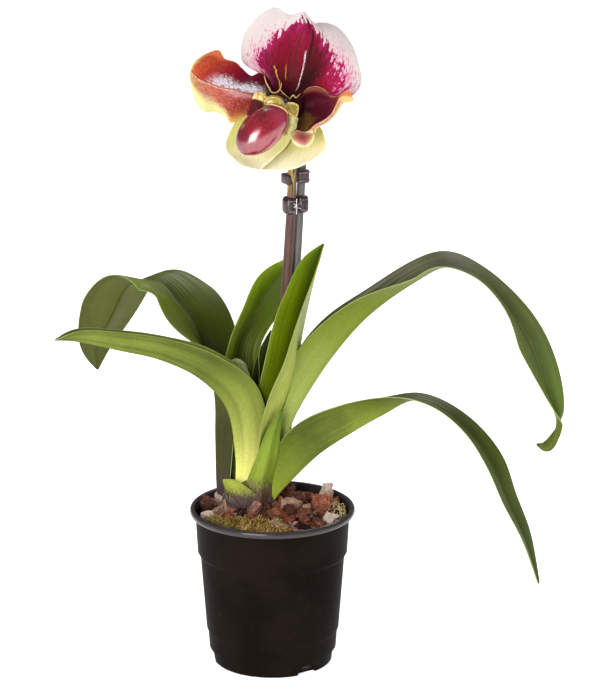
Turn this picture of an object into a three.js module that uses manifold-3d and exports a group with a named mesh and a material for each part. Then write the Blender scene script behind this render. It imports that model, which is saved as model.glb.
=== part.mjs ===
// A slipper orchid (Paphiopedilum) standing in its plastic pot.
// Millimetres, +Z up. The origin is the middle of the pot's underside, and the flower looks towards -Y.
import * as THREE from 'three';
import { mergeVertices } from 'three/addons/utils/BufferGeometryUtils.js';
import Module from 'manifold-3d';

const wasm = await Module();
wasm.setup();

// Driving dimensions.
const rimRadius = 60; // widest point of the rolled rim
const potHeight = 117;
const footRadius = 43.2;
const potWall = 1.6;
const potSides = 40;
const fitGap = 0.3; // clearance kept between neighbouring pieces
const leafThickness = 1.2;
const petalThickness = 1;
const soilHeight = 106; // top of the mix at the wall of the pot
const scapeRadius = 3.2;
const stakeRadius = 2.7;
const crownCentre = [-17, 20]; // where the plant stands in the mix
const flowerCentre = [9, 3, 417]; // foot of the column, where the flower's parts meet
const weldTolerance = 1e-4;

// ---------------------------------------------------------------- helpers

// A seeded random number from 0 to 1.
function makeRandom(seed) {
  let state = seed;
  return () => {
    state = (state + 0x6d2b79f5) | 0;
    let t = Math.imul(state ^ (state >>> 15), 1 | state);
    t = (t + Math.imul(t ^ (t >>> 7), 61 | t)) ^ t;
    return ((t ^ (t >>> 14)) >>> 0) / 4294967296;
  };
}

// The solid of a closed geometry, with its shared vertices merged.
function solidOf(geometry) {
  const bare = geometry.clone();
  bare.deleteAttribute('normal');
  bare.deleteAttribute('uv');
  const merged = mergeVertices(bare, weldTolerance);
  const solid = new wasm.Manifold(new wasm.Mesh({
    numProp: 3,
    vertProperties: new Float32Array(merged.attributes.position.array),
    triVerts: new Uint32Array(merged.index.array),
  }));
  if (solid.isEmpty()) throw new Error('a shape is not closed');
  return solid;
}

function geometryOf(solid) {
  const mesh = solid.getMesh();
  const geometry = new THREE.BufferGeometry();
  geometry.setAttribute('position', new THREE.BufferAttribute(mesh.vertProperties, 3));
  geometry.setIndex(new THREE.BufferAttribute(mesh.triVerts, 1));
  const faceted = geometry.toNonIndexed();
  faceted.computeVertexNormals();
  return faceted;
}

// The largest body of a solid: what a cut leaves loose beside it is dropped.
function largestBody(solid) {
  const bodies = solid.decompose();
  return bodies.reduce((best, body) => (body.volume() > best.volume() ? body : best));
}

function fuse(solids) {
  return solids.reduce((whole, solid) => whole.add(solid));
}

// A body turned about the vertical axis from [radius, height] pairs.
function turned(profile, sides) {
  const points = profile.map(([radius, height]) => new THREE.Vector2(radius, height));
  return new THREE.LatheGeometry(points, sides).rotateX(Math.PI / 2);
}

function vector([x, y, z]) {
  return new THREE.Vector3(x, y, z);
}

// A number read along a list of values with a smooth curve through them, for u from 0 to 1.
function smoothValue(values, u) {
  const place = Math.min(u * (values.length - 1), values.length - 1 - 1e-9);
  const i = Math.floor(place);
  const t = place - i;
  const at = (k) => values[Math.max(0, Math.min(values.length - 1, k))];
  const [a, b, c, d] = [at(i - 1), at(i), at(i + 1), at(i + 2)];
  const [square, cube] = [2 * a - 5 * b + 4 * c - d, 3 * b - a - 3 * c + d];
  return 0.5 * (2 * b + (c - a) * t + square * t * t + cube * t * t * t);
}

// The same for a list of points.
function smoothPoint(points, u) {
  return new THREE.Vector3(
    smoothValue(points.map((p) => p.x), u),
    smoothValue(points.map((p) => p.y), u),
    smoothValue(points.map((p) => p.z), u),
  );
}

// A thin blade on a grid of points, rows by columns, thickened to both sides. Both faces are split alike.
function bladeGeometry(grid, thickness, grow) {
  const rows = grid.length;
  const cols = grid[0].length;
  const half = thickness / 2 + grow;
  const at = (i, j) => grid[Math.max(0, Math.min(rows - 1, i))][Math.max(0, Math.min(cols - 1, j))];
  const along = (i, j) => at(i + 1, j).clone().sub(at(i - 1, j)).normalize();
  const across = (i, j) => at(i, j + 1).clone().sub(at(i, j - 1)).normalize();
  const positions = [];
  for (const side of [1, -1]) {
    for (let i = 0; i < rows; i += 1) {
      for (let j = 0; j < cols; j += 1) {
        const normal = along(i, j).cross(across(i, j)).normalize();
        const point = at(i, j).clone().addScaledVector(normal, side * half);
        if (j === 0) point.addScaledVector(across(i, j), -grow);
        if (j === cols - 1) point.addScaledVector(across(i, j), grow);
        if (i === 0) point.addScaledVector(along(i, j), -grow);
        if (i === rows - 1) point.addScaledVector(along(i, j), grow);
        positions.push(point.x, point.y, point.z);
      }
    }
  }
  const index = [];
  const top = (i, j) => i * cols + j;
  const under = (i, j) => rows * cols + i * cols + j;
  const quad = (a, b, c, d) => index.push(a, b, c, a, c, d);
  for (let i = 0; i < rows - 1; i += 1) {
    for (let j = 0; j < cols - 1; j += 1) {
      quad(top(i, j), top(i + 1, j), top(i + 1, j + 1), top(i, j + 1));
      index.push(under(i, j), under(i + 1, j + 1), under(i + 1, j));
      index.push(under(i, j), under(i, j + 1), under(i + 1, j + 1));
    }
    quad(top(i, 0), under(i, 0), under(i + 1, 0), top(i + 1, 0));
    quad(top(i + 1, cols - 1), under(i + 1, cols - 1), under(i, cols - 1), top(i, cols - 1));
  }
  for (let j = 0; j < cols - 1; j += 1) {
    quad(top(0, j), top(0, j + 1), under(0, j + 1), under(0, j));
    quad(top(rows - 1, j), under(rows - 1, j), under(rows - 1, j + 1), top(rows - 1, j + 1));
  }
  const geometry = new THREE.BufferGeometry();
  geometry.setAttribute('position', new THREE.Float32BufferAttribute(positions, 3));
  geometry.setIndex(index);
  return geometry;
}

// A round rod along a smooth path, with a radius at each of its points.
function rodGeometry(path, radii, sides, steps, grow) {
  const points = path.map(vector);
  const positions = [];
  const index = [];
  for (let i = 0; i <= steps; i += 1) {
    const u = i / steps;
    const centre = smoothPoint(points, u);
    const ahead = smoothPoint(points, Math.min(1, u + 0.01));
    const behind = smoothPoint(points, Math.max(0, u - 0.01));
    const along = ahead.sub(behind).normalize();
    const sideways = new THREE.Vector3(1, 0, 0).addScaledVector(along, -along.x).normalize();
    const other = along.clone().cross(sideways);
    const radius = smoothValue(radii, u) + grow;
    if (i === 0) centre.addScaledVector(along, -grow);
    if (i === steps) centre.addScaledVector(along, grow);
    for (let k = 0; k < sides; k += 1) {
      const angle = (2 * Math.PI * k) / sides;
      const point = centre.clone().addScaledVector(sideways, radius * Math.cos(angle));
      point.addScaledVector(other, radius * Math.sin(angle));
      positions.push(point.x, point.y, point.z);
    }
  }
  const ring = (i, k) => i * sides + (k % sides);
  for (let i = 0; i < steps; i += 1) {
    for (let k = 0; k < sides; k += 1) {
      index.push(ring(i, k), ring(i, k + 1), ring(i + 1, k + 1));
      index.push(ring(i, k), ring(i + 1, k + 1), ring(i + 1, k));
    }
  }
  for (let k = 1; k < sides - 1; k += 1) {
    index.push(ring(0, 0), ring(0, k + 1), ring(0, k));
    index.push(ring(steps, 0), ring(steps, k), ring(steps, k + 1));
  }
  const geometry = new THREE.BufferGeometry();
  geometry.setAttribute('position', new THREE.Float32BufferAttribute(positions, 3));
  geometry.setIndex(index);
  return geometry;
}

// ---------------------------------------------------------------- pot

function makePot() {
  const outside = [
    [0, 0],
    [footRadius, 0],
    [44.2, 8.5], // top of the foot band
    [46.2, 9.6],
    [47.2, 23],
    [48.2, 24.5], // ledge under the printed band
    [52.4, 80],
    [54.4, 83], // ledge above it
    [55.9, 110],
    [58.6, 111.6], // underside of the rolled rim
    [rimRadius, 114.2],
    [58.4, potHeight],
    [56.2, potHeight - 1],
    [54.9, 108],
    [54.4 - potWall, 84],
    [52.4 - potWall, 81],
    [47.2 - potWall, 25],
    [43.6 - potWall, 10],
    [42.4 - potWall, potWall],
    [0, potWall],
  ];
  const body = solidOf(turned(outside, potSides));
  const notches = [0, 1, 2].map((k) => solidOf(drainNotch(k)));
  return notches.reduce((whole, notch) => whole.subtract(notch), body);
}

// A drain notch is a wedge cut through the foot's corner, narrower at its top.
function drainNotch(k) {
  const [lowWidth, highWidth, height, depth] = [17.6, 8, 7, 9];
  const shape = new THREE.Shape([
    new THREE.Vector2(-lowWidth / 2, -1),
    new THREE.Vector2(lowWidth / 2, -1),
    new THREE.Vector2(highWidth / 2, height),
    new THREE.Vector2(-highWidth / 2, height),
  ]);
  const firstAngle = -54.5;
  const wedge = new THREE.ExtrudeGeometry(shape, { depth, bevelEnabled: false });
  wedge.rotateX(Math.PI / 2).rotateZ(Math.PI / 2).translate(footRadius - depth / 2, 0, 0);
  return wedge.rotateZ(THREE.MathUtils.degToRad(firstAngle + 120 * k));
}

// ---------------------------------------------------------------- mix and moss

// The space inside the pot, less the fit gap, up to a height above the rim.
function makePotInside(top, crown) {
  const gap = potWall + fitGap;
  const profile = [
    [0, gap + 0.2],
    [42.2 - gap, gap + 0.2],
    [43.4 - gap, 10],
    [47 - gap, 25],
    [52.2 - gap, 80.5],
    [54.3 - gap, 84.5],
    [56.2 - gap, 105.5],
    [56.2 - gap, top],
    [30, top + crown / 2],
    [0, top + crown],
  ];
  return solidOf(turned(profile, potSides));
}

// One piece of bark: a box with its corners knocked about.
function barkChunk(random, size) {
  const box = new THREE.BoxGeometry(1, 1, 1);
  box.deleteAttribute('normal');
  box.deleteAttribute('uv');
  const chunk = mergeVertices(box);
  const corners = chunk.attributes.position;
  for (let i = 0; i < corners.count; i += 1) {
    const pull = () => 0.72 + 0.5 * random();
    corners.setXYZ(i, corners.getX(i) * pull(), corners.getY(i) * pull(), corners.getZ(i) * pull());
  }
  chunk.scale(...size);
  chunk.rotateX((random() - 0.5) * 1.1).rotateY((random() - 0.5) * 1.1).rotateZ(random() * Math.PI);
  return chunk;
}

// Bark lies over the whole top on a spiral, but not where the plant and the moss are.
function makeBark() {
  const random = makeRandom(11);
  const count = 34;
  const reach = 48;
  const goldenAngle = 2.39996;
  const chunks = [];
  for (let i = 0; i < count; i += 1) {
    const radius = reach * Math.sqrt((i + 0.5) / count);
    const x = radius * Math.cos(i * goldenAngle);
    const y = radius * Math.sin(i * goldenAngle);
    const size = [15 + 4 * random(), 9 + 3 * random(), 9 + 3 * random()];
    const lift = 2.5 * random();
    const chunk = barkChunk(random, size);
    const onPlant = Math.hypot((x - crownCentre[0]) / 25, (y - crownCentre[1]) / 13) < 1;
    const underMoss = mossPatches.some(([px, py, pr]) => Math.hypot(x - px, y - py) < pr * 0.75);
    if (!onPlant && !underMoss) chunks.push(solidOf(chunk.translate(x, y, soilHeight + 2 + lift)));
  }
  const tallChunk = new THREE.BoxGeometry(11, 8, 26).rotateY(0.25).rotateX(-0.15);
  chunks.push(solidOf(tallChunk.translate(36, 8, soilHeight + 2)));
  const backChunk = barkChunk(random, [11, 9, 24]).rotateX(0.2);
  chunks.push(solidOf(backChunk.translate(39, 33, soilHeight + 3)));
  const leftChunk = barkChunk(random, [12, 9, 17]);
  chunks.push(solidOf(leftChunk.translate(-47, 14, soilHeight + 3)));
  return chunks;
}

// The mix fills the pot up to a low mound, with the bark on it kept clear of the rim.
function makePottingMix() {
  const clearOfRim = makePotInside(potHeight + 33, 0);
  const bark = makeBark().map((chunk) => chunk.intersect(clearOfRim));
  return fuse([makePotInside(soilHeight, 3), ...bark]);
}

// Moss patches: x, y and radius of each tuft.
const mossPatches = [
  [-34, -16, 8],
  [-24, -22, 9],
  [-11, -26, 10],
  [3, -24, 10],
  [14, -28, 8],
  [-6, -14, 9],
];

function makeMoss(grow) {
  const random = makeRandom(5);
  const tufts = mossPatches.map(([x, y, radius]) => {
    const ball = new THREE.IcosahedronGeometry(1, 1).deleteAttribute('normal').deleteAttribute('uv');
    const tuft = mergeVertices(ball);
    const points = tuft.attributes.position;
    for (let i = 0; i < points.count; i += 1) {
      const bump = 0.86 + 0.28 * random();
      points.setXYZ(i, points.getX(i) * bump, points.getY(i) * bump, points.getZ(i) * bump);
    }
    tuft.scale(radius + grow, radius + grow, 4 + grow);
    return solidOf(tuft.translate(x, y, soilHeight + 2.5));
  });
  return fuse(tufts);
}

// ---------------------------------------------------------------- stem, roots and stake

// Sections of the plant's foot from below: height, half width, half depth.
const crownSections = [
  [84, 8, 6],
  [96, 16, 9],
  [106, 20, 11],
  [116, 20, 11.5],
  [125, 18, 9.5],
  [132, 13, 6.5],
];

function makeCrownBody(grow) {
  const sides = 18;
  const positions = [];
  const index = [];
  const last = crownSections.length - 1;
  crownSections.forEach(([height, halfWidth, halfDepth], i) => {
    const lift = i === 0 ? -grow : i === last ? grow : 0;
    for (let k = 0; k < sides; k += 1) {
      const angle = (2 * Math.PI * k) / sides;
      const ridge = k % 3 === 0 ? 1.06 : 1; // edges of the old sheaths wrapped round it
      positions.push(
        crownCentre[0] + (halfWidth * ridge + grow) * Math.cos(angle),
        crownCentre[1] + (halfDepth * ridge + grow) * Math.sin(angle),
        height + lift,
      );
    }
  });
  const ring = (i, k) => i * sides + (k % sides);
  for (let i = 0; i < last; i += 1) {
    for (let k = 0; k < sides; k += 1) {
      index.push(ring(i, k), ring(i, k + 1), ring(i + 1, k + 1));
      index.push(ring(i, k), ring(i + 1, k + 1), ring(i + 1, k));
    }
  }
  for (let k = 1; k < sides - 1; k += 1) {
    index.push(ring(0, 0), ring(0, k + 1), ring(0, k));
    index.push(ring(last, 0), ring(last, k), ring(last, k + 1));
  }
  const geometry = new THREE.BufferGeometry();
  geometry.setAttribute('position', new THREE.Float32BufferAttribute(positions, 3));
  geometry.setIndex(index);
  return solidOf(geometry);
}

// Roots spread from the foot down into the mix.
function makeRoots(grow) {
  const rootCount = 4;
  const [cx, cy] = crownCentre;
  return Array.from({ length: rootCount }, (_, k) => {
    const angle = 0.5 + (2 * Math.PI * k) / rootCount;
    const out = (reach, height) => [cx + reach * Math.cos(angle), cy + 0.7 * reach * Math.sin(angle), height];
    const path = [out(2, 92), out(9, 80), out(14, 62), out(17, 42), out(15, 26)];
    return solidOf(rodGeometry(path, [2.2, 2.1, 1.9, 1.7, 1.2], 5, 5, grow));
  });
}

function makeCrown(grow) {
  return fuse([makeCrownBody(grow), ...makeRoots(grow)]);
}

const scapePath = [[1, 27, 100], [3, 30, 160], [8, 32, 241], [12, 32, 303], [13, 31, 341], [12, 28, 363]];
const scapeRadii = [3.6, 3.4, scapeRadius, scapeRadius, 3.1, 3];

function makeScape(grow) {
  return solidOf(rodGeometry(scapePath, scapeRadii, 12, 22, grow));
}

const stakeFoot = [3, 37, 14];
const stakeTop = [21.7, 37, 365];

function makeStake(grow) {
  return solidOf(rodGeometry([stakeFoot, stakeTop], [stakeRadius, stakeRadius], 10, 1, grow));
}

// A clip is a rounded block round both the flower stem and the stake.
function makeClip(height, bottomZ) {
  const middle = [16.7, 33.8];
  const [halfLength, halfWidth] = [9.6, 5.4];
  const shape = new THREE.Shape();
  shape.absarc(halfLength - halfWidth, 0, halfWidth, -Math.PI / 2, Math.PI / 2);
  shape.absarc(halfWidth - halfLength, 0, halfWidth, Math.PI / 2, (3 * Math.PI) / 2);
  const block = new THREE.ExtrudeGeometry(shape, { depth: height, bevelEnabled: false, curveSegments: 6 });
  const turn = Math.atan2(5, 8);
  return solidOf(block.rotateZ(turn).translate(middle[0], middle[1], bottomZ));
}

// ---------------------------------------------------------------- leaves

// A leaf is a keeled blade. Its stations run from base to tip, and each says where the keel is (x, y, z), how
// wide the blade is laid flat, and in degrees how far each half is folded up and how far the blade is rolled.
// The heading (degrees from +X) is the way that the leaf grows out from the plant.
const leaves = {
  leaf_left_front: {
    heading: 195,
    steps: 18,
    stations: [
      [-27, 15, 121, 22, 80, 0],
      [-27, 10, 150, 43, 82, 5],
      [-33, 2, 189, 56, 78, 5],
      [-52, -14, 217, 47, 72, 0],
      [-79, -28, 235, 36, 70, 5],
      [-107, -42, 246, 30, 70, 5],
      [-135, -54, 256, 20, 66, 5],
      [-151, -60, 259, 2, 43, 5],
    ],
  },
  leaf_left_back: {
    heading: 139,
    steps: 20,
    stations: [
      [-41, 24, 121, 31, 80, 0],
      [-42, 26, 161, 40, 80, 5],
      [-43, 27, 196, 45, 74, 16],
      [-55, 43, 235, 58, 24, -5],
      [-70, 62, 252, 61, 24, 0],
      [-85, 77, 264, 49, 5, -5],
      [-106, 86, 260, 46, 6, 20],
      [-120, 94, 233, 49, 26, 30],
      [-132, 102, 208, 31, 28, 38],
      [-132, 107, 188, 2, 13, 38],
    ],
  },
  leaf_centre: {
    heading: 50,
    steps: 16,
    stations: [
      [-5, 23, 121, 16, 80, 0],
      [-1, 19, 160, 30, 77, -10],
      [9, 18, 190, 45, 74, -12],
      [18, 18, 219, 53, 70, -5],
      [23, 19, 247, 50, 66, 0],
      [28, 22, 271, 38, 60, 0],
      [33, 25, 292, 25, 50, 0],
      [37, 28, 306, 2, 40, 0],
    ],
  },
  leaf_centre_back: {
    heading: 105,
    steps: 16,
    stations: [
      [-16, 27, 121, 12, 80, 0],
      [-19, 29, 145, 14, 75, 0],
      [-23, 31, 172, 28, 65, 0],
      [-27, 33, 198, 42, 46, 0],
      [-25, 37, 227, 42, 55, 0],
      [-14, 42, 248, 38, 50, -8],
      [-2, 45, 270, 34, 32, 0],
      [14, 51, 290, 2, 22, -5],
    ],
  },
  leaf_right_high: {
    heading: -22.6,
    steps: 34,
    stations: [
      [-1, 20, 121, 12, 82, 0],
      [4, 20, 139, 20, 82, 0],
      [12, 18, 167, 37, 82, 0],
      [22, 16, 190, 44, 84, 0],
      [44, 9, 227, 48, 80, 14],
      [70, -5, 262, 42, 50, 5],
      [105, -15, 291, 37, 30, 20],
      [124, -24, 302, 35, 20, 5],
      [146, -31, 297, 31, 10, -5],
      [163, -41, 279, 32, 20, 0],
      [181, -45, 253, 39, 6, 10],
      [192, -53, 222, 30, 22, 12],
      [199, -57, 204, 17, 30, 2],
      [200, -57, 196, 10, 40, -40],
      [198, -59, 188, 8, 30, -80],
      [193, -60, 181, 9, 25, -90],
      [186, -60, 183, 2, 10, -90],
    ],
  },
  leaf_right_low: {
    heading: -20.5,
    steps: 24,
    stations: [
      [2, 15, 117, 18, 82, 0],
      [13, 11, 131, 43, 80, 0],
      [34, 5, 154, 56, 79, -3],
      [58, -2, 173, 46, 75, -8],
      [80, -10, 189, 34, 53, -15],
      [101, -17, 202, 30, 12, -8],
      [122, -24, 197, 29, 8, -5],
      [141, -32, 182, 29, 13, 0],
      [156, -39, 161, 29, 15, 5],
      [167, -45, 136, 26, 11, 2],
      [179, -51, 110, 21, 12, 0],
      [190, -56, 77, 2, 15, 5],
    ],
  },
  leaf_inner_small: {
    heading: 180,
    steps: 8,
    stations: [
      [-18, 24, 126, 10, 70, 0],
      [-20, 24, 170, 14, 60, 0],
      [-20, 24, 205, 14, 45, 0],
      [-25, 23, 217, 10, 35, 0],
      [-30, 22, 220, 2, 20, 0],
    ],
  },
  leaf_inner_dark: {
    heading: 70,
    steps: 8,
    stations: [
      [-9, 25, 124, 10, 75, 0],
      [-11, 25, 170, 18, 65, 0],
      [-8, 25, 205, 18, 55, 0],
      [-4, 27, 226, 12, 45, 0],
      [-1, 29, 241, 2, 30, 0],
    ],
  },
  sheath_front: {
    heading: -75,
    steps: 8,
    stations: [
      [-9, 8.5, 108, 23, 30, 0],
      [-8, 7, 128, 20, 30, 0],
      [-3, 6, 150, 17, 26, 0],
      [2, 7, 172, 11, 20, 0],
      [7, 9, 188, 1.8, 10, 0],
    ],
  },
  sheath_left: {
    heading: -115,
    steps: 7,
    stations: [
      [-22, 9.5, 108, 24, 30, 0],
      [-25, 8, 120, 22, 28, 0],
      [-29.5, 7.5, 130, 13, 20, 0],
      [-35, 9, 137, 2, 10, 0],
    ],
  },
};

// The halves of a folded leaf stay this far apart, halfway up, so that the blade never meets itself.
const leafOpening = 2.2;

// Where the blade's points lie from one margin to the other, as parts of its half width.
const acrossLeaf = [-1, -0.5, 0, 0.5, 1];

function leafGrid({ heading, stations, steps }) {
  const angle = THREE.MathUtils.degToRad(heading);
  const leftwards = new THREE.Vector3(-Math.sin(angle), Math.cos(angle), 0);
  const keel = stations.map(vector);
  const column = (k) => stations.map((station) => station[k]);
  const [widths, folds, rolls] = [column(3), column(4), column(5)];
  const grid = [];
  for (let i = 0; i <= steps; i += 1) {
    const u = i / steps;
    const centre = smoothPoint(keel, u);
    const behind = smoothPoint(keel, Math.max(0, u - 0.02));
    const along = smoothPoint(keel, Math.min(1, u + 0.02)).sub(behind).normalize();
    const side = leftwards.clone().addScaledVector(along, -leftwards.dot(along)).normalize();
    side.applyAxisAngle(along, THREE.MathUtils.degToRad(smoothValue(rolls, u)));
    const up = along.clone().cross(side);
    const halfWidth = smoothValue(widths, u) / 2;
    const fold = THREE.MathUtils.degToRad(smoothValue(folds, u));
    const steepest = Math.acos(Math.min(0.9, leafOpening / halfWidth));
    grid.push(acrossLeaf.map((part) => {
      const lean = Math.min(steepest, fold * (1.15 - 0.15 * Math.abs(part)));
      const point = centre.clone().addScaledVector(side, part * halfWidth * Math.cos(lean));
      return point.addScaledVector(up, Math.abs(part) * halfWidth * Math.sin(lean));
    }));
  }
  return grid;
}

function makeLeaf(name, grow) {
  return solidOf(bladeGeometry(leafGrid(leaves[name]), leafThickness, grow));
}

// ---------------------------------------------------------------- flower

// Each petal or sepal is a net of points [right, back, up] from the flower's centre. Rows run from base to
// tip, and columns from one margin to the other.
const petals = {
  dorsal_sepal: {
    steps: [11, 12],
    net: [
      [[-6, 5, 0], [-4, 4, 0], [-1, 3, 0], [2, 3, 0], [5, 3, 0], [8, 4, 0], [10, 5, -1]],
      [[-16, 12, 14], [-11, 8, 14], [-4, 3, 13], [7, -2, 12], [18, 2, 10], [31, 7, 5], [43, 10, -2]],
      [[-29, 14, 23], [-21, 10, 25], [-7, 4, 26], [11, -4, 26], [26, 2, 24], [41, 8, 17], [54, 12, 8]],
      [[-30, 12, 37], [-22, 9, 38], [-6, 3, 39], [14, -6, 39], [31, 1, 34], [43, 6, 29], [52, 10, 24]],
      [[-25, 8, 49], [-18, 6, 50], [-4, 1, 49], [17, -7, 48], [31, 0, 44], [40, 5, 40], [46, 8, 39]],
      [[-16, 4, 59], [-10, 3, 59], [0, -1, 57], [17, -8, 54], [26, -2, 51], [34, 3, 49], [37, 6, 50]],
      [[-8, 2, 64], [-4, 1, 64], [4, -2, 60], [14, -8, 63], [19, -4, 54], [24, 0, 54], [29, 3, 53]],
    ],
  },
  petal_left: {
    steps: [12, 8],
    net: [
      [[-6, 3, -4], [-6, 1, -2], [-5, 0, 1], [-4, 1, 4], [-3, 4, 7]],
      [[-23, 0, -7], [-21, -3, -1], [-20, -4, 4], [-16, 0, 9], [-13, 6, 14]],
      [[-34, -2, -13], [-32, -6, -3], [-30, -8, 7], [-27, -3, 12], [-22, 7, 15]],
      [[-44, -4, -10], [-43, -9, 1], [-41, -12, 10], [-38, -6, 17], [-33, 4, 25]],
      [[-54, -5, -8], [-52, -11, 3], [-50, -15, 14], [-48, -9, 23], [-45, 1, 34]],
      [[-61, -6, 0], [-59, -12, 9], [-57, -16, 17], [-55, -11, 25], [-52, -3, 32]],
      [[-66, -9, 14], [-65, -13, 18], [-64, -16, 22], [-63, -14, 26], [-59, -9, 30]],
    ],
  },
  petal_right: {
    steps: [14, 8],
    net: [
      [[4, 3, -11], [5, 2, -8], [6, 2, -5], [6, 2, -1], [7, 4, 3]],
      [[4, -6, -26], [8, 0, -19], [11, 4, -11], [13, 4, -2], [14, 3, 4]],
      [[12, -10, -32], [13, -4, -23], [17, 5, -12], [19, 5, -2], [20, 1, 7]],
      [[20, -9, -25], [20, -4, -19], [22, 3, -11], [24, 3, -2], [26, 0, 5]],
      [[27, -10, -16], [27, -6, -12], [29, -1, -7], [30, 0, -1], [32, -3, 2]],
      [[34, -11, -12], [35, -8, -9], [36, -6, -5], [37, -6, 0], [38, -7, 2]],
      [[39, -12, -3], [41, -11, -2], [43, -10, 1], [44, -10, 4], [45, -11, 6]],
      [[46, -12, -1], [47, -12, 0], [48, -12, 1], [49, -12, 3], [48, -12, 4]],
    ],
  },
  synsepal: {
    steps: [10, 10],
    net: [
      [[-6, 6, -6], [-2, 7, -6], [3, 7, -6], [7, 6, -6]],
      [[-28, 4, -15], [-12, 12, -22], [9, 12, -21], [24, 5, -20]],
      [[-39, 0, -25], [-16, 13, -34], [10, 13, -34], [28, 0, -27]],
      [[-41, -5, -36], [-19, 8, -44], [10, 8, -42], [29, -5, -35]],
      [[-31, -7, -46], [-16, 0, -51], [4, 0, -51], [20, -6, -43]],
    ],
  },
};

function petalGrid({ net, steps }) {
  const [rowSteps, colSteps] = steps;
  const columns = net[0].map((_, j) => net.map((row) => vector(row[j])));
  const grid = [];
  for (let i = 0; i <= rowSteps; i += 1) {
    const row = columns.map((column) => smoothPoint(column, i / rowSteps));
    grid.push(Array.from({ length: colSteps + 1 }, (_, j) => smoothPoint(row, j / colSteps)));
  }
  return grid;
}

function makePetal(name, grow) {
  const blade = bladeGeometry(petalGrid(petals[name]), petalThickness, grow);
  return solidOf(blade.translate(...flowerCentre));
}

// The pouch is an egg-shaped slipper, open at its heel, that points forwards, down and to the left.
// Its wall is turned from [radius, height] pairs, from the toe up to the mouth and back down inside.
const pouchOutside = [
  [0, -23],
  [6, -21.5],
  [11.5, -16.5],
  [15, -8.5],
  [16, 0],
  [14.6, 8],
  [12, 14],
  [11.6, 17.5],
  [13.4, 20.1],
];
const pouchInside = [
  [12.6, 20.4],
  [10.7, 17.8],
  [11, 14],
  [13.5, 7.8],
  [14.9, 0],
  [13.9, -8],
  [10.6, -15.6],
  [5.5, -20.4],
  [0, -22],
];

function makePouch(grow) {
  const spread = ([radius, height]) => [radius > 0 ? radius + grow : 0, height + (height < 0 ? -grow : grow)];
  const mouthHeight = pouchInside[0][1] + grow;
  // A grown pouch is room kept for the pouch, so its mouth is filled in.
  const room = [...pouchOutside.map(spread), [0, mouthHeight]];
  const profile = grow > 0 ? room : [...pouchOutside, ...pouchInside];
  const slipper = turned(profile, 18);
  slipper.scale(0.94, 0.85, 0.97); // it is a little flat from front to back
  const mouthwards = new THREE.Vector3(0.7, 0.32, 0.64).normalize();
  const lean = new THREE.Quaternion().setFromUnitVectors(new THREE.Vector3(0, 0, 1), mouthwards);
  slipper.applyQuaternion(lean);
  return solidOf(slipper.translate(flowerCentre[0] - 15.5, flowerCentre[1] - 22, flowerCentre[2] - 17.5));
}

// The ovary rises from the flower stem, bends forwards and ends in the column with its shield.
function makeOvaryAndColumn(grow) {
  const [cx, cy, cz] = flowerCentre;
  const heart = new THREE.IcosahedronGeometry(1, 1).scale(6 + grow, 5.5 + grow, 6.5 + grow);
  heart.translate(cx, cy + 1, cz);
  const foot = [[12, 28, 363.6], [11.5, 26, 378], [11, 21, 396], [10, 13, 409]];
  const path = [...foot, [cx, cy + 4, cz - 2], [cx - 6, cy - 10, cz]];
  const stalk = solidOf(rodGeometry(path, [3, 3.4, 4.2, 4.4, 3.8, 3.2], 12, 16, grow));
  const shield = new THREE.IcosahedronGeometry(1, 1).scale(7.2 + grow, 3 + grow, 4.6 + grow);
  shield.rotateX(THREE.MathUtils.degToRad(25)).translate(cx - 7.5, cy - 11.5, cz);
  return fuse([stalk, solidOf(heart), solidOf(shield)]);
}

const bractLeaf = {
  heading: 100,
  steps: 8,
  stations: [
    [12, 32.4, 359, 10, 30, 0],
    [12, 32.6, 370, 15, 35, 0],
    [12, 33, 384, 12, 35, 0],
    [12, 34, 397, 2, 20, 0],
  ],
};

function makeBract(grow) {
  return solidOf(bladeGeometry(leafGrid(bractLeaf), petalThickness, grow));
}

// ---------------------------------------------------------------- assembly

// Each piece with the function that makes it, firm ones first. A later piece gives way to an earlier one, so
// that it is cut back to leave the fit gap where the two would cross.
const makers = {
  stake: makeStake,
  scape: makeScape,
  ovary_and_column: makeOvaryAndColumn,
  pouch: makePouch,
  crown: makeCrown,
};
['sheath_front', 'sheath_left', 'leaf_left_front', 'leaf_right_low', 'leaf_centre', 'leaf_right_high',
  'leaf_inner_dark', 'leaf_inner_small', 'leaf_centre_back', 'leaf_left_back'].forEach((name) => {
  makers[name] = (grow) => makeLeaf(name, grow);
});
['petal_right', 'petal_left', 'dorsal_sepal', 'synsepal'].forEach((name) => {
  makers[name] = (grow) => makePetal(name, grow);
});
makers.bract = makeBract;
makers.moss = makeMoss;
makers.potting_mix = makePottingMix;
makers.clip_lower = () => makeClip(13, 327);
makers.clip_upper = () => makeClip(10, 348);

function boxesMeet(a, b) {
  const [p, q] = [a.boundingBox(), b.boundingBox()];
  return [0, 1, 2].every((k) => p.min[k] < q.max[k] && q.min[k] < p.max[k]);
}

const pieces = {};
const grown = {};
for (const [name, make] of Object.entries(makers)) {
  let piece = make(0);
  for (const other of Object.values(grown)) {
    if (boxesMeet(piece, other)) piece = piece.subtract(other);
  }
  pieces[name] = largestBody(piece);
  grown[name] = make(fitGap);
}
pieces.pot = makePot();

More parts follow.
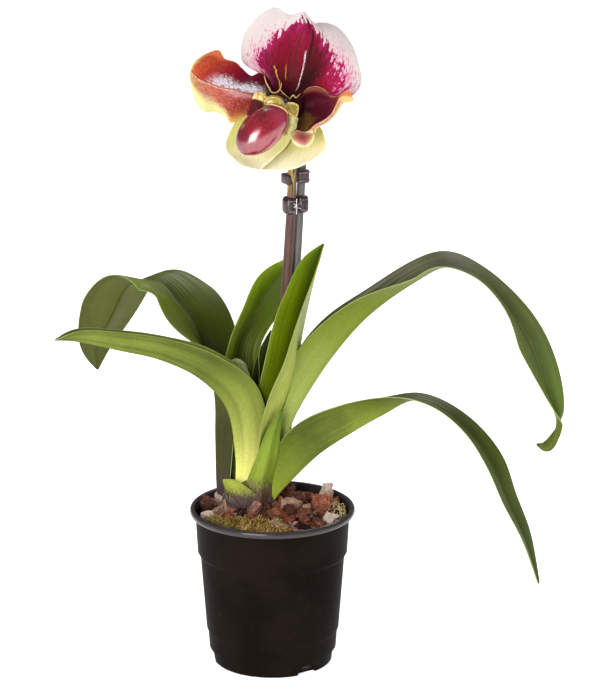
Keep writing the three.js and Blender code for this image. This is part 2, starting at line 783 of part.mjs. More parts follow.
// Colour, roughness and metalness of each finish.
const finishes = {
  pot: [0x2b2423, 0.35, 0],
  bark: [0x7a4030, 0.9, 0],
  moss: [0x8a7a35, 0.95, 0],
  sheath: [0x8f8f4a, 0.6, 0],
  lightLeaf: [0x8fa24a, 0.45, 0],
  darkLeaf: [0x45562a, 0.45, 0],
  stem: [0x5a3230, 0.6, 0],
  stake: [0x6a6468, 0.6, 0],
  clip: [0x3a2c2a, 0.3, 0],
  ovary: [0xb9b05a, 0.5, 0],
  sepal: [0xe8d4d0, 0.5, 0],
  petal: [0x7d2027, 0.35, 0],
  synsepal: [0xdfe094, 0.5, 0],
  pouch: [0x8c1c33, 0.2, 0],
};
const finishOf = {
  pot: 'pot',
  potting_mix: 'bark',
  moss: 'moss',
  crown: 'sheath',
  sheath_front: 'lightLeaf',
  sheath_left: 'lightLeaf',
  leaf_left_front: 'lightLeaf',
  leaf_left_back: 'darkLeaf',
  leaf_centre: 'lightLeaf',
  leaf_centre_back: 'darkLeaf',
  leaf_right_high: 'lightLeaf',
  leaf_right_low: 'lightLeaf',
  leaf_inner_small: 'lightLeaf',
  leaf_inner_dark: 'darkLeaf',
  scape: 'stem',
  bract: 'darkLeaf',
  ovary_and_column: 'ovary',
  dorsal_sepal: 'sepal',
  petal_left: 'petal',
  petal_right: 'petal',
  synsepal: 'synsepal',
  pouch: 'pouch',
  stake: 'stake',
  clip_lower: 'clip',
  clip_upper: 'clip',
};

const orchid = new THREE.Group();
for (const [name, finish] of Object.entries(finishOf)) {
  const [color, roughness, metalness] = finishes[finish];
  const material = new THREE.MeshStandardMaterial({ color, roughness, metalness });
  const mesh = new THREE.Mesh(geometryOf(pieces[name]), material);
  mesh.name = name;
  orchid.add(mesh);
}

export default orchid;
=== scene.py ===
import math
import random
from functools import lru_cache

import bmesh
import bpy
from mathutils import Euler, Matrix, Vector, noise


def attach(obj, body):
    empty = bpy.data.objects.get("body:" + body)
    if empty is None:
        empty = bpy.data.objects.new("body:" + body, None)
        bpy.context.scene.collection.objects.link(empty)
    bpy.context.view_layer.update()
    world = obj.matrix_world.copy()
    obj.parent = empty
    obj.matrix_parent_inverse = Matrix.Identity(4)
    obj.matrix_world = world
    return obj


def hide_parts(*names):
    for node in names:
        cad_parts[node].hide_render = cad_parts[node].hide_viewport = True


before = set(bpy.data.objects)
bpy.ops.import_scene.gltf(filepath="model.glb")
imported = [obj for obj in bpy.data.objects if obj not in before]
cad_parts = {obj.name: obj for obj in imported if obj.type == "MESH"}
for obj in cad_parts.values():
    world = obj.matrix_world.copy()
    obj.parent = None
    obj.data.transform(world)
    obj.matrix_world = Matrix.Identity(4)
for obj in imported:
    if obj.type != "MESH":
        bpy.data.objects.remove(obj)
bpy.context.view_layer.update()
mm = 0.001
noise.seed_set(4)    # crumples and bark come out the same in every run
flowerCentre = Vector((9, 3, 417))    # foot of the column, in millimetres
print("frame loaded")


def tint(code):
    # "#7a8f3a" as the linear colour that a shader needs
    parts = [int(code[i:i + 2], 16) / 255 for i in (1, 3, 5)]
    linear = [part / 12.92 if part <= 0.04045 else ((part + 0.055) / 1.055) ** 2.4 for part in parts]
    return (*linear, 1)


def smoothValue(values, u):
    # reads along a list of numbers or vectors on a smooth curve, for u from 0 to 1
    last = len(values) - 1
    place = min(max(u, 0) * last, last - 1e-9)
    i = int(place)
    t = place - i
    a, b, c, d = (values[min(max(k, 0), last)] for k in (i - 1, i, i + 1, i + 2))
    square, cube = a * 2 - b * 5 + c * 4 - d, b * 3 - a - c * 3 + d
    return (b * 2 + (c - a) * t + square * t ** 2 + cube * t ** 3) * 0.5


def smoothStep(low, high, x):
    t = min(max((x - low) / (high - low), 0), 1)
    return t * t * (3 - 2 * t)


def mathsNode(operation, isReflected=False):
    # an operator that adds a Math node; where it is reflected, as in 1 - mask, its own value comes last
    def operator(value, *others):
        numbers = (*others, value) if isReflected else (value, *others)
        return value.paint.node("ShaderNodeMath", {"operation": operation}, dict(enumerate(numbers)))

    return operator


class Value:
    # a shader socket, so that maths on it reads as maths
    __add__ = mathsNode("ADD")
    __radd__ = mathsNode("ADD", True)
    __sub__ = mathsNode("SUBTRACT")
    __rsub__ = mathsNode("SUBTRACT", True)
    __mul__ = mathsNode("MULTIPLY")
    __rmul__ = mathsNode("MULTIPLY", True)
    __pow__ = mathsNode("POWER")
    __abs__ = mathsNode("ABSOLUTE")
    most = mathsNode("MAXIMUM")

    def __init__(self, paint, socket):
        self.paint = paint
        self.socket = socket

    def between(self, low, high):
        # 0 under low, 1 over high, smooth between
        settings = {"interpolation_type": "SMOOTHSTEP"}
        sockets = {"Value": self, "From Min": low, "From Max": high}
        return self.paint.node("ShaderNodeMapRange", settings, sockets)

    def ramp(self, *stops):
        # stops are (place, "#colour") or (place, number)
        return self.paint.node("ShaderNodeValToRGB", {"stops": stops}, {"Fac": self})


class Paint:
    # one material, with a method for every kind of node that it uses
    def __init__(self, name):
        self.material = bpy.data.materials.new(name)
        self.material.use_nodes = True
        self.tree = self.material.node_tree
        self.tree.nodes.clear()

    def node(self, kind, settings=None, sockets=None, out=0):
        made = self.tree.nodes.new(kind)
        for key, setting in (settings or {}).items():
            if key == "stops":
                self.setStops(made.color_ramp.elements, setting)
            else:
                setattr(made, key, setting)
        for key, value in (sockets or {}).items():
            if isinstance(value, Value):
                self.tree.links.new(value.socket, made.inputs[key])
            else:
                made.inputs[key].default_value = value
        return Value(self, made.outputs[out])

    def setStops(self, elements, stops):
        while len(elements) < len(stops):
            elements.new(0.5)
        for element, (place, shade) in zip(elements, stops):
            element.position = place
            element.color = tint(shade) if isinstance(shade, str) else (shade, shade, shade, 1)

    def objectPlace(self):
        return self.node("ShaderNodeTexCoord", out="Object")

    def sheetPlace(self):
        # across and along a sheet, each from 0 to 1
        place = self.node("ShaderNodeUVMap", {"uv_map": "sheet"})
        return self.split(place)[:2]

    def split(self, vector):
        first = self.node("ShaderNodeSeparateXYZ", sockets={"Vector": vector})
        return [Value(self, first.socket.node.outputs[k]) for k in range(3)]

    def join(self, x, y, z=0.0):
        return self.node("ShaderNodeCombineXYZ", sockets={"X": x, "Y": y, "Z": z})

    def grain(self, place, scale, detail=2.0, rough=0.5, bend=0.0):
        sockets = {"Vector": place, "Scale": scale, "Detail": detail, "Roughness": rough, "Distortion": bend}
        return self.node("ShaderNodeTexNoise", {"noise_dimensions": "3D"}, sockets)

    def threads(self, stretched, detail=2.0, rough=0.5, bend=0.0):
        # grain on a place that is already stretched, which draws it out into streaks
        return self.grain(self.join(*stretched), 1.0, detail, rough, bend)

    def cells(self, place, scale, feature="F1"):
        return self.node("ShaderNodeTexVoronoi", {"feature": feature}, {"Vector": place, "Scale": scale})

    def mark(self, name):
        return self.node("ShaderNodeAttribute", {"attribute_name": name}, out="Fac")

    def blend(self, factor, first, second, kind="MIX"):
        first, second = (tint(c) if isinstance(c, str) else c for c in (first, second))
        settings = {"data_type": "RGBA", "blend_type": kind}
        return self.node("ShaderNodeMix", settings, {0: factor, 6: first, 7: second}, out=2)

    def times(self, colour, shade):
        return self.blend(1.0, colour, shade, "MULTIPLY")

    def bump(self, height, depth, strength):
        sockets = {"Height": height, "Distance": depth, "Strength": strength}
        return self.node("ShaderNodeBump", sockets=sockets)

    def finish(self, colour, roughness, normal=None, **fixed):
        # fixed sockets are written with underscores, such as Coat_Weight
        sockets = {"Base Color": colour, "Roughness": roughness}
        sockets.update({key.replace("_", " "): value for key, value in fixed.items()})
        if normal:
            sockets["Normal"] = normal
        shader = self.node("ShaderNodeBsdfPrincipled", sockets=sockets)
        output = self.tree.nodes.new("ShaderNodeOutputMaterial")
        self.tree.links.new(shader.socket, output.inputs["Surface"])
        return self.material


def linkObject(name, data):
    made = bpy.data.objects.new(name, data)
    bpy.context.scene.collection.objects.link(made)
    return made


def placeMesh(name, mesh, paints, smooth=True):
    for paint in paints:
        mesh.materials.append(paint)
    mesh.polygons.foreach_set("use_smooth", [smooth] * len(mesh.polygons))
    return linkObject(name, mesh)


def newPiece(name, bm, paints, smooth=True):
    mesh = bpy.data.meshes.new(name)
    bm.to_mesh(mesh)
    bm.free()
    return placeMesh(name, mesh, paints, smooth)


def addModifier(piece, kind, **settings):
    modifier = piece.modifiers.new(kind.title(), kind)
    for key, setting in settings.items():
        setattr(modifier, key, setting)


def applyModifiers(piece):
    graph = bpy.context.evaluated_depsgraph_get()
    mesh = bpy.data.meshes.new_from_object(piece.evaluated_get(graph))
    piece.modifiers.clear()
    piece.data = mesh


def settle(piece, slotName, *nodes):
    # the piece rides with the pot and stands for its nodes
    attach(piece, "root")
    if nodes:
        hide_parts(*nodes)


def makeSheet(name, paints, across, along, place, thickness, flip=False):
    # a blade on a grid: place(u, v) says where each point goes, in millimetres;
    # its paints are for the upper side, the under side and the margin
    bm = bmesh.new()
    bmesh.ops.create_grid(bm, x_segments=across, y_segments=along, size=0.5)
    uvLayer = bm.loops.layers.uv.new("sheet")
    flat = {vert: (vert.co.x + 0.5, vert.co.y + 0.5) for vert in bm.verts}
    for face in bm.faces:
        for loop in face.loops:
            loop[uvLayer].uv = flat[loop.vert]
    for vert, (u, v) in flat.items():
        vert.co = place(u, v) * mm
    if flip:
        bmesh.ops.reverse_faces(bm, faces=bm.faces)
    piece = newPiece(name, bm, paints)
    wall = {"thickness": thickness * mm, "offset": 0, "material_offset": 1, "material_offset_rim": 2}
    addModifier(piece, "SOLIDIFY", **wall)
    addModifier(piece, "SUBSURF", levels=1, render_levels=1)
    return piece


def turnProfile(profile, steps):
    # spins [radius, height] pairs about the upright axis into a closed skin
    bm = bmesh.new()
    verts = [bm.verts.new((radius * mm, 0, height * mm)) for radius, height in profile]
    edges = [bm.edges.new(pair) for pair in zip(verts, verts[1:])]
    bmesh.ops.spin(bm, geom=verts + edges, axis=(0, 0, 1), angle=2 * math.pi, steps=steps, use_merge=True)
    bmesh.ops.remove_doubles(bm, verts=bm.verts, dist=0.01 * mm)
    bmesh.ops.recalc_face_normals(bm, faces=bm.faces)
    return bm


def roundEdges(bm, edges, radius, segments):
    form = {"segments": segments, "profile": 0.5, "affect": "EDGES", "material": -1}
    bmesh.ops.bevel(bm, geom=edges, offset=radius * mm, **form)


def makeTube(name, paint, strands, sides=2):
    # strands are lists of (point, radius) in millimetres, each a round rod on a smooth curve
    data = bpy.data.curves.new(name, "CURVE")
    data.dimensions = "3D"
    data.bevel_depth = mm
    data.bevel_resolution = sides
    data.use_fill_caps = True
    for strand in strands:
        spline = data.splines.new("POLY")
        spline.points.add(len(strand) - 1)
        for knot, (point, radius) in zip(spline.points, strand):
            knot.co = (*(Vector(point) * mm), 1)
            knot.radius = radius
    rod = linkObject(name, data)
    mesh = bpy.data.meshes.new_from_object(rod.evaluated_get(bpy.context.evaluated_depsgraph_get()))
    bpy.data.objects.remove(rod)
    mesh.materials.clear()
    return placeMesh(name, mesh, [paint])


def smoothStrand(path, radii, steps):
    points = [Vector(point) for point in path]
    return [(smoothValue(points, k / steps), smoothValue(radii, k / steps)) for k in range(steps + 1)]


def atFlower(spot):
    # a point of the flower, from millimetres right of, behind and above its centre
    return flowerCentre + Vector(spot)


def netColumns(net):
    return [[Vector(spot) for spot in column] for column in zip(*net)]


flap = {"thickness": 0.7, "crumpleScale": 0.4}    # the small lobes of the flower


def makeFlap(name, net, paints, grid=(16, 16), crumple=0.4):
    columns = netColumns(net)

    def point(u, v):
        spot = smoothValue([smoothValue(column, v) for column in columns], u)
        return atFlower(spot) + noise.noise_vector(spot * flap["crumpleScale"]) * crumple

    return makeSheet(name, paints, *grid, point, flap["thickness"])


# the camera stands in front of the pot and looks down on it a little
camera = {"place": (0.020, -2.245, 0.8845), "down": 16.0, "lens": 172.15}
cameraData = bpy.data.cameras.new("camera")
cameraData.lens = camera["lens"]
cameraData.clip_end = 100
cameraObject = linkObject("camera", cameraData)
cameraObject.location = camera["place"]
cameraObject.rotation_euler = (math.radians(90 - camera["down"]), 0, 0)
bpy.context.scene.camera = cameraObject

# soft boxes of light: place, what they look at, size, power, and whether shiny faces mirror them
softBoxes = {
    "keyBox": ((-1.1, -2.4, 1.15), (0, 0, 0.3), (1.3, 1.9), 17, True),
    "fillBox": ((1.7, -0.8, 0.7), (0, 0, 0.25), (0.5, 1.5), 9, False),
    "sideBox": ((-1.8, -0.4, 0.8), (0, 0, 0.25), (0.5, 1.5), 3, False),
    "frontBox": ((-0.85, -1.85, 0.55), (0, 0, 0.42), (1.3, 1.6), 38, True),
    "topBox": ((0.3, 1.3, 2.0), (0, 0, 0.3), (1.6, 1.2), 34, True),
}
for name, (place, aim, size, power, isMirrored) in softBoxes.items():
    light = bpy.data.lights.new(name, "AREA")
    light.shape = "RECTANGLE"
    light.size, light.size_y = size
    light.energy = power
    lamp = linkObject(name, light)
    lamp.visible_camera = False
    lamp.visible_glossy = isMirrored
    lamp.location = place
    lamp.rotation_euler = (Vector(aim) - Vector(place)).to_track_quat("-Z", "Y").to_euler()

studio = {"ambient": 0.15, "floorHalf": 14, "floorGlow": 0.72, "floorColours": ("#f4f4f3", "#fafaf9")}
world = bpy.data.worlds.new("studio")
world.use_nodes = True
background = world.node_tree.nodes["Background"]
background.inputs["Color"].default_value = (1, 1, 1, 1)
background.inputs["Strength"].default_value = studio["ambient"]
bpy.context.scene.world = world
bpy.context.scene.view_settings.view_transform = "Standard"


def paintFloor():
    paint = Paint("palePaper")
    speck = paint.grain(paint.objectPlace(), 40.0)
    colour = paint.blend(speck, *studio["floorColours"])
    glow = {"Emission_Color": (1, 1, 1, 1), "Emission_Strength": studio["floorGlow"]}
    return paint.finish(colour, 0.9, Specular_IOR_Level=0.2, **glow)


floorMesh = bmesh.new()
bmesh.ops.create_grid(floorMesh, x_segments=2, y_segments=2, size=studio["floorHalf"])
floorPiece = newPiece("floor", floorMesh, [paintFloor()])
print("camera, lights and floor done")

# the pot, as [radius, height] from the middle of its underside, up the outside and down the inside
pot = {
    "outside": [
        (0, 0), (42.7, 0), (43.2, 0.5), (44.2, 8.5), (44.6, 9.2), (46.0, 9.6), (46.3, 10.2), (47.2, 23),
        (47.5, 23.9), (48.0, 24.4), (48.3, 25.4), (52.4, 80), (52.8, 81.6), (53.9, 82.6), (54.4, 83.6),
        (55.9, 110), (56.6, 110.9), (58.0, 111.3), (59.2, 112.1), (59.9, 113.4), (59.9, 114.8), (59.3, 116.2),
        (58.2, 116.9), (57.1, 116.7), (56.3, 115.8), (55.9, 114.4),
    ],
    "inside": [(54.9, 108), (52.8, 84), (50.8, 81), (45.6, 25), (42.0, 10), (40.8, 1.6), (0, 1.6)],
    # three drain notches: angle of the first, width below and above, height, depth, and where they are cut
    "notch": {
        "first": -54.5, "low": 17.6, "high": 8.0, "height": 8, "depth": 9.0,
        "radius": 43.2, "middle": 3, "round": 0.8,
    },
    "steps": 160,
    "colour": ("#140f0c", "#1b1512"), "dust": "#3a2e28", "roughness": 0.4,
    # the rim: heights where its painted highlight and coat begin and are full, the grey of the painted
    # highlight, and the coat
    "rim": {"foot": 110.5, "full": 112.5, "colour": "#403a3b", "coat": 0.7},
}


def paintPot():
    paint = Paint("moulded pot")
    place = paint.objectPlace()
    x, y, z = paint.split(place)
    cloud = paint.grain(place, 22.0, 4.0)
    fine = paint.grain(place, 900.0, 2.0)
    flow = paint.threads((x * 60, y * 60, z * 900), 3.0)    # the faint rings of moulding
    dust = paint.grain(place, 140.0, 5.0, 0.7).between(0.55, 0.8) * 0.25
    colour = paint.blend(cloud.between(0.35, 0.65), *pot["colour"])
    colour = paint.blend(dust, colour, pot["dust"])
    roughness = pot["roughness"] + 0.12 * cloud + 0.05 * flow
    normal = paint.bump(fine * 0.5 + flow * 0.5, 0.06 * mm, 0.5)
    # the rim is painted a lighter grey as a painted highlight, and it also gets a glossy coat
    rim = z.between(pot["rim"]["foot"] * mm, pot["rim"]["full"] * mm)
    colour = paint.blend(rim * 0.7, colour, pot["rim"]["colour"])
    coat = {"Coat_Weight": rim * pot["rim"]["coat"], "Coat_Roughness": 0.16}
    return paint.finish(colour, roughness, normal, IOR=1.06, **coat)


def makePot():
    bm = turnProfile(pot["outside"] + pot["inside"], pot["steps"])
    piece = newPiece("potShell", bm, [paintPot()])
    notch = pot["notch"]
    cutters = bmesh.new()
    for k in range(3):
        wedge = bmesh.ops.create_cube(cutters, size=1)["verts"]
        for vert in wedge:
            x, y, z = vert.co
            width = notch["high"] if z > 0 else notch["low"]
            spot = (x * notch["depth"] + notch["radius"], y * width, z * notch["height"] + notch["middle"])
            vert.co = Vector(spot) * mm
        turn = Matrix.Rotation(math.radians(notch["first"] + 120 * k), 3, "Z")
        bmesh.ops.rotate(cutters, verts=wedge, cent=(0, 0, 0), matrix=turn)
    roundEdges(cutters, cutters.edges[:], notch["round"], 2)
    cutter = newPiece("notchCutter", cutters, [])
    addModifier(piece, "BOOLEAN", object=cutter, operation="DIFFERENCE", solver="EXACT")
    applyModifiers(piece)
    bpy.data.objects.remove(cutter)
    return piece


settle(makePot(), "pot", "pot")
print("pot done")

# each leaf from base to tip: keel point, width laid flat, fold of each half and roll.
# Halves and bands are painted light and shade: how much lighter or darker each half is painted beside its
# keel, and each band from keel to margin. Gleam is a painted highlight: where along it, how far and how
# strongly it is painted. Foot says how high the old sheaths' purple reaches, how soon it fades and its
# colour.
# Glow is how strongly the pale base is painted glowing, and the midrib value how much darker its midrib is
# painted as shade, or lighter as a painted highlight.
leaves = {
    "leaf_left_front": {
        "heading": 195, "rows": 56, "glow": 0.48, "foot": (120, 18, "#5a4650"),
        "underBands": (
            (0, 0.8), (0.12, 1.04), (0.24, 1.0), (0.32, 0.78),
            (0.42, 1.12), (0.6, 1.1), (0.76, 0.86), (1, 0.96),
        ),
        "stations": [
            (-22, 16, 106, 16, 80, 0), (-27, 15, 121, 24, 80, 0), (-27, 10, 150, 43, 82, 5),
            (-33, 2, 189, 56, 78, 5), (-52, -14, 217, 47, 72, 0), (-79, -28, 235, 36, 70, 5),
            (-107, -42, 246, 30, 70, 5), (-135, -54, 256, 20, 66, 5), (-151, -60, 259, 1, 43, 5),
        ],
        "under": ["#faf69c", "#f2ee84", "#8b9640", "#586424", "#636f29", "#6e7a2f", "#4d4a1e"],
        "upper": ["#8d9a48", "#7b8a3c", "#717c34", "#5e6a2c", "#4a4a22"],
    },
    "leaf_left_back": {
        "heading": 139, "rows": 64, "slot": "dark_leaf", "foot": (136, 28, "#432c38"),
        "upperHalves": (1.7, 0.92), "underHalves": (1, 1.3), "midrib": 0.85, "gleam": (0.56, 0.08, 0.3),
        "stations": [
            (-37, 23, 104, 25, 80, 0), (-41, 24, 121, 31, 80, 0), (-42, 26, 161, 40, 80, 5),
            (-43, 27, 196, 45, 74, 16), (-55, 43, 235, 58, 24, -5), (-70, 62, 252, 61, 24, 0),
            (-85, 77, 264, 49, 5, -5), (-106, 86, 260, 46, 6, 20), (-120, 94, 233, 49, 26, 30),
            (-132, 102, 208, 31, 28, 38), (-132, 107, 188, 1, 13, 38),
        ],
        "under": ["#34330e", "#363612", "#4a501c", "#4e5423", "#4a4e1c", "#42461a"],
        "upper": ["#454a14", "#3e440e", "#3c4406", "#4c5a06", "#5a6a16", "#586424"],
    },
    "leaf_centre": {
        "heading": 50, "rows": 52,
        "upperBands": ((0, 0.5), (0.3, 0.62), (0.62, 1.05), (0.8, 1.15), (1, 1.3)),
        "stations": [
            (-6, 22, 106, 12, 80, 0), (-5, 23, 121, 16, 80, 0), (-1, 19, 160, 30, 77, -10),
            (9, 18, 190, 45, 74, -12), (18, 18, 219, 53, 70, -5), (23, 19, 247, 50, 66, 0),
            (28, 22, 271, 38, 60, 0), (33, 25, 292, 25, 50, 0), (37, 28, 306, 1, 40, 0),
        ],
        "under": ["#a8b244", "#a6b04c", "#b0ba60", "#bcc67a", "#c4ce84"],
        "upper": ["#606c10", "#404a00", "#505e00", "#566802", "#526c0c"],
    },
    "leaf_centre_back": {
        "heading": 105, "rows": 52, "slot": "dark_leaf",
        "upperHalves": (1.85, 0.74), "gleam": (0.6, 0.3, 0.2),
        "stations": [
            (-16, 26, 106, 10, 80, 0), (-16, 27, 121, 12, 80, 0), (-19, 29, 145, 14, 75, 0),
            (-23, 31, 172, 28, 65, 0), (-27, 33, 198, 42, 46, 0), (-25, 37, 227, 42, 55, 0),
            (-14, 42, 248, 38, 50, -8), (-2, 45, 270, 34, 32, 0), (14, 51, 290, 1, 22, -5),
        ],
        "under": ["#8a9a4e", "#7d8f44", "#70823a", "#66782f"],
        "upper": ["#6e7614", "#6e760e", "#5c680c", "#4e5e0c", "#566c0e"],
    },
    "leaf_right_high": {
        "heading": -22.6, "rows": 90, "midrib": 1.1, "gleam": (0.4, 0.1, 0.55),
        "stations": [
            (-4, 21, 106, 10, 82, 0), (-1, 20, 121, 14, 82, 0), (4, 20, 139, 20, 82, 0),
            (12, 18, 167, 37, 82, 0), (22, 16, 190, 44, 84, 0), (44, 9, 227, 48, 80, 14),
            (70, -5, 262, 42, 50, 5), (105, -15, 291, 37, 30, 20), (124, -24, 302, 35, 20, 5),
            (146, -31, 297, 31, 10, -5), (163, -41, 279, 32, 20, 0), (181, -45, 253, 39, 6, 10),
            (192, -53, 222, 30, 22, 12), (199, -57, 204, 17, 30, 2), (200, -57, 196, 10, 40, -40),
            (198, -59, 188, 8, 30, -80), (193, -60, 181, 9, 25, -90), (186, -60, 183, 1, 10, -90),
        ],
        "under": ["#b5c468", "#9eab58", "#6a7824", "#5e6a1e", "#626e1a", "#545e1e", "#555c24"],
        "upper": ["#5a6a30", "#3e4426", "#3a3828", "#545638", "#5c6a34", "#5e762e", "#4e6620"],
    },
    "leaf_right_low": {
        "heading": -20.5, "rows": 76, "midrib": 0.9, "gleam": (0.53, 0.09, 0.5),
        "underBands": ((0, 1.35), (0.2, 1.15), (0.55, 0.82), (1, 0.72)),
        "stations": [
            (-4, 17, 104, 18, 82, 0), (2, 15, 117, 24, 82, 0), (13, 11, 131, 43, 80, 0),
            (34, 5, 154, 56, 79, -3), (58, -2, 173, 46, 75, -8), (80, -10, 189, 34, 53, -15),
            (101, -17, 202, 30, 12, -8), (122, -24, 197, 29, 8, -5), (141, -32, 182, 29, 13, 0),
            (156, -39, 161, 29, 15, 5), (167, -45, 136, 26, 11, 2), (179, -51, 110, 21, 12, 0),
            (190, -56, 77, 2, 15, 5),
        ],
        "under": [
            "#a9bb3e", "#8a9a34", "#4e5c16", "#6c7729", "#465210", "#2e3709", "#39431a", "#4e5822", "#566026",
        ],
        "upper": ["#5c7030", "#4a5a26", "#40491e", "#46501e", "#4a5622", "#4c5a2a"],
    },
    "leaf_inner_small": {
        "heading": 180, "rows": 28,
        "stations": [
            (-18, 24, 118, 9, 70, 0), (-18, 24, 126, 10, 70, 0), (-20, 24, 170, 14, 60, 0),
            (-20, 24, 205, 14, 45, 0), (-25, 23, 217, 10, 35, 0), (-30, 22, 220, 1, 20, 0),
        ],
        "under": ["#8a9450", "#d4dc98", "#eef2c4"],
        "upper": ["#8a9a50", "#d4dc98", "#eef2c4"],
    },
    "leaf_inner_dark": {
        "heading": 70, "rows": 28, "slot": "dark_leaf",
        "stations": [
            (-9, 25, 116, 8, 75, 0), (-9, 25, 124, 10, 75, 0), (-11, 25, 170, 18, 65, 0),
            (-8, 25, 205, 18, 55, 0), (-4, 27, 226, 12, 45, 0), (-1, 29, 241, 1, 30, 0),
        ],
        "under": ["#46521e", "#3b461a", "#364216"],
        "upper": ["#2b340f", "#27300c", "#303c12"],
    },
    "sheath_front": {
        "heading": -75, "rows": 40, "foot": (134, 20, "#5a3440"),
        "stations": [
            (-10, 9, 104, 28, 34, 0), (-9, 7.5, 112, 27, 32, 0), (-8, 6.4, 128, 24, 30, 0),
            (-3, 5.6, 150, 18, 28, 0), (2, 6.6, 172, 11, 22, 0), (7, 9, 188, 0.8, 10, 0),
        ],
        "under": ["#8a9344", "#8e9a3a", "#869830", "#748a28", "#52681e"],
        "upper": ["#6a7f38", "#62782f", "#5a702c"],
    },
    "sheath_left": {
        "heading": -115, "rows": 32, "foot": (127, 13, "#4c2a4a"),
        "stations": [
            (-19, 9.5, 103, 28, 34, 0), (-21, 8.4, 110, 30, 32, 0), (-26, 7, 120, 26, 28, 0),
            (-31, 7, 129, 15, 20, 0), (-36, 9, 134, 0.8, 10, 0),
        ],
        "under": ["#a8ac52", "#b0b84e", "#a8b246", "#90a03e"],
        "upper": ["#6f8436", "#6a8034", "#62782f"],
    },
}
# shine is the colour of the leaves' painted highlight, and glow that of their painted glow
leafShape = {
    "thickness": 0.9, "across": 17, "keelRound": 0.1, "arch": 0.05, "opening": 2.2, "steeper": 0.15,
    "wave": 0.5, "waves": 17, "phase": 2.1, "margin": ("#a0ac56", "#7c8a3e"), "tip": "#3b3216",
    "shine": "#a9ae93", "fibre": "#c9b98c", "glow": "#e6e67c",
}


def leafPoint(leaf, seed):
    angle = math.radians(leaf["heading"])
    leftwards = Vector((-math.sin(angle), math.cos(angle), 0))
    keel = [Vector(station[:3]) for station in leaf["stations"]]
    widths, folds, rolls = ([station[k] for station in leaf["stations"]] for k in (3, 4, 5))

    @lru_cache(maxsize=None)
    def row(v):
        along = (smoothValue(keel, min(1, v + 0.02)) - smoothValue(keel, max(0, v - 0.02))).normalized()
        side = (leftwards - along * leftwards.dot(along)).normalized()
        side.rotate(Matrix.Rotation(math.radians(smoothValue(rolls, v)), 3, along))
        up = along.cross(side)
        return smoothValue(keel, v), side, up, smoothValue(widths, v) / 2, smoothValue(folds, v)

    def point(u, v):
        centre, side, up, halfWidth, fold = row(round(v, 5))
        c = 1 - 2 * u
        part = abs(c)
        steepest = math.acos(min(0.9, leafShape["opening"] / halfWidth))
        lean = min(steepest, math.radians(fold) * (1 + leafShape["steeper"] * (1 - part)))
        k = leafShape["keelRound"]
        rise = (math.sqrt(part * part + k * k) - k) / (math.sqrt(1 + k * k) - k)
        outwards = math.copysign(math.sin(lean), c)
        bulge = leafShape["arch"] * halfWidth * math.sin(math.pi * part) * math.cos(lean) ** 2
        ripple = leafShape["wave"] * part ** 3 * math.sin(v * leafShape["waves"] + seed + (2 if c > 0 else 0))
        ripple *= smoothStep(0.1, 0.4, v) * smoothStep(0, 8, halfWidth) * math.cos(lean)
        place = centre + side * (c * halfWidth * math.cos(lean)) + up * (rise * halfWidth * math.sin(lean))
        return place + (side * outwards - up * math.cos(lean)) * -(bulge + ripple)

    return point


def spread(colours):
    # stops evenly placed along a ramp
    return [(k / (len(colours) - 1), colour) for k, colour in enumerate(colours)]


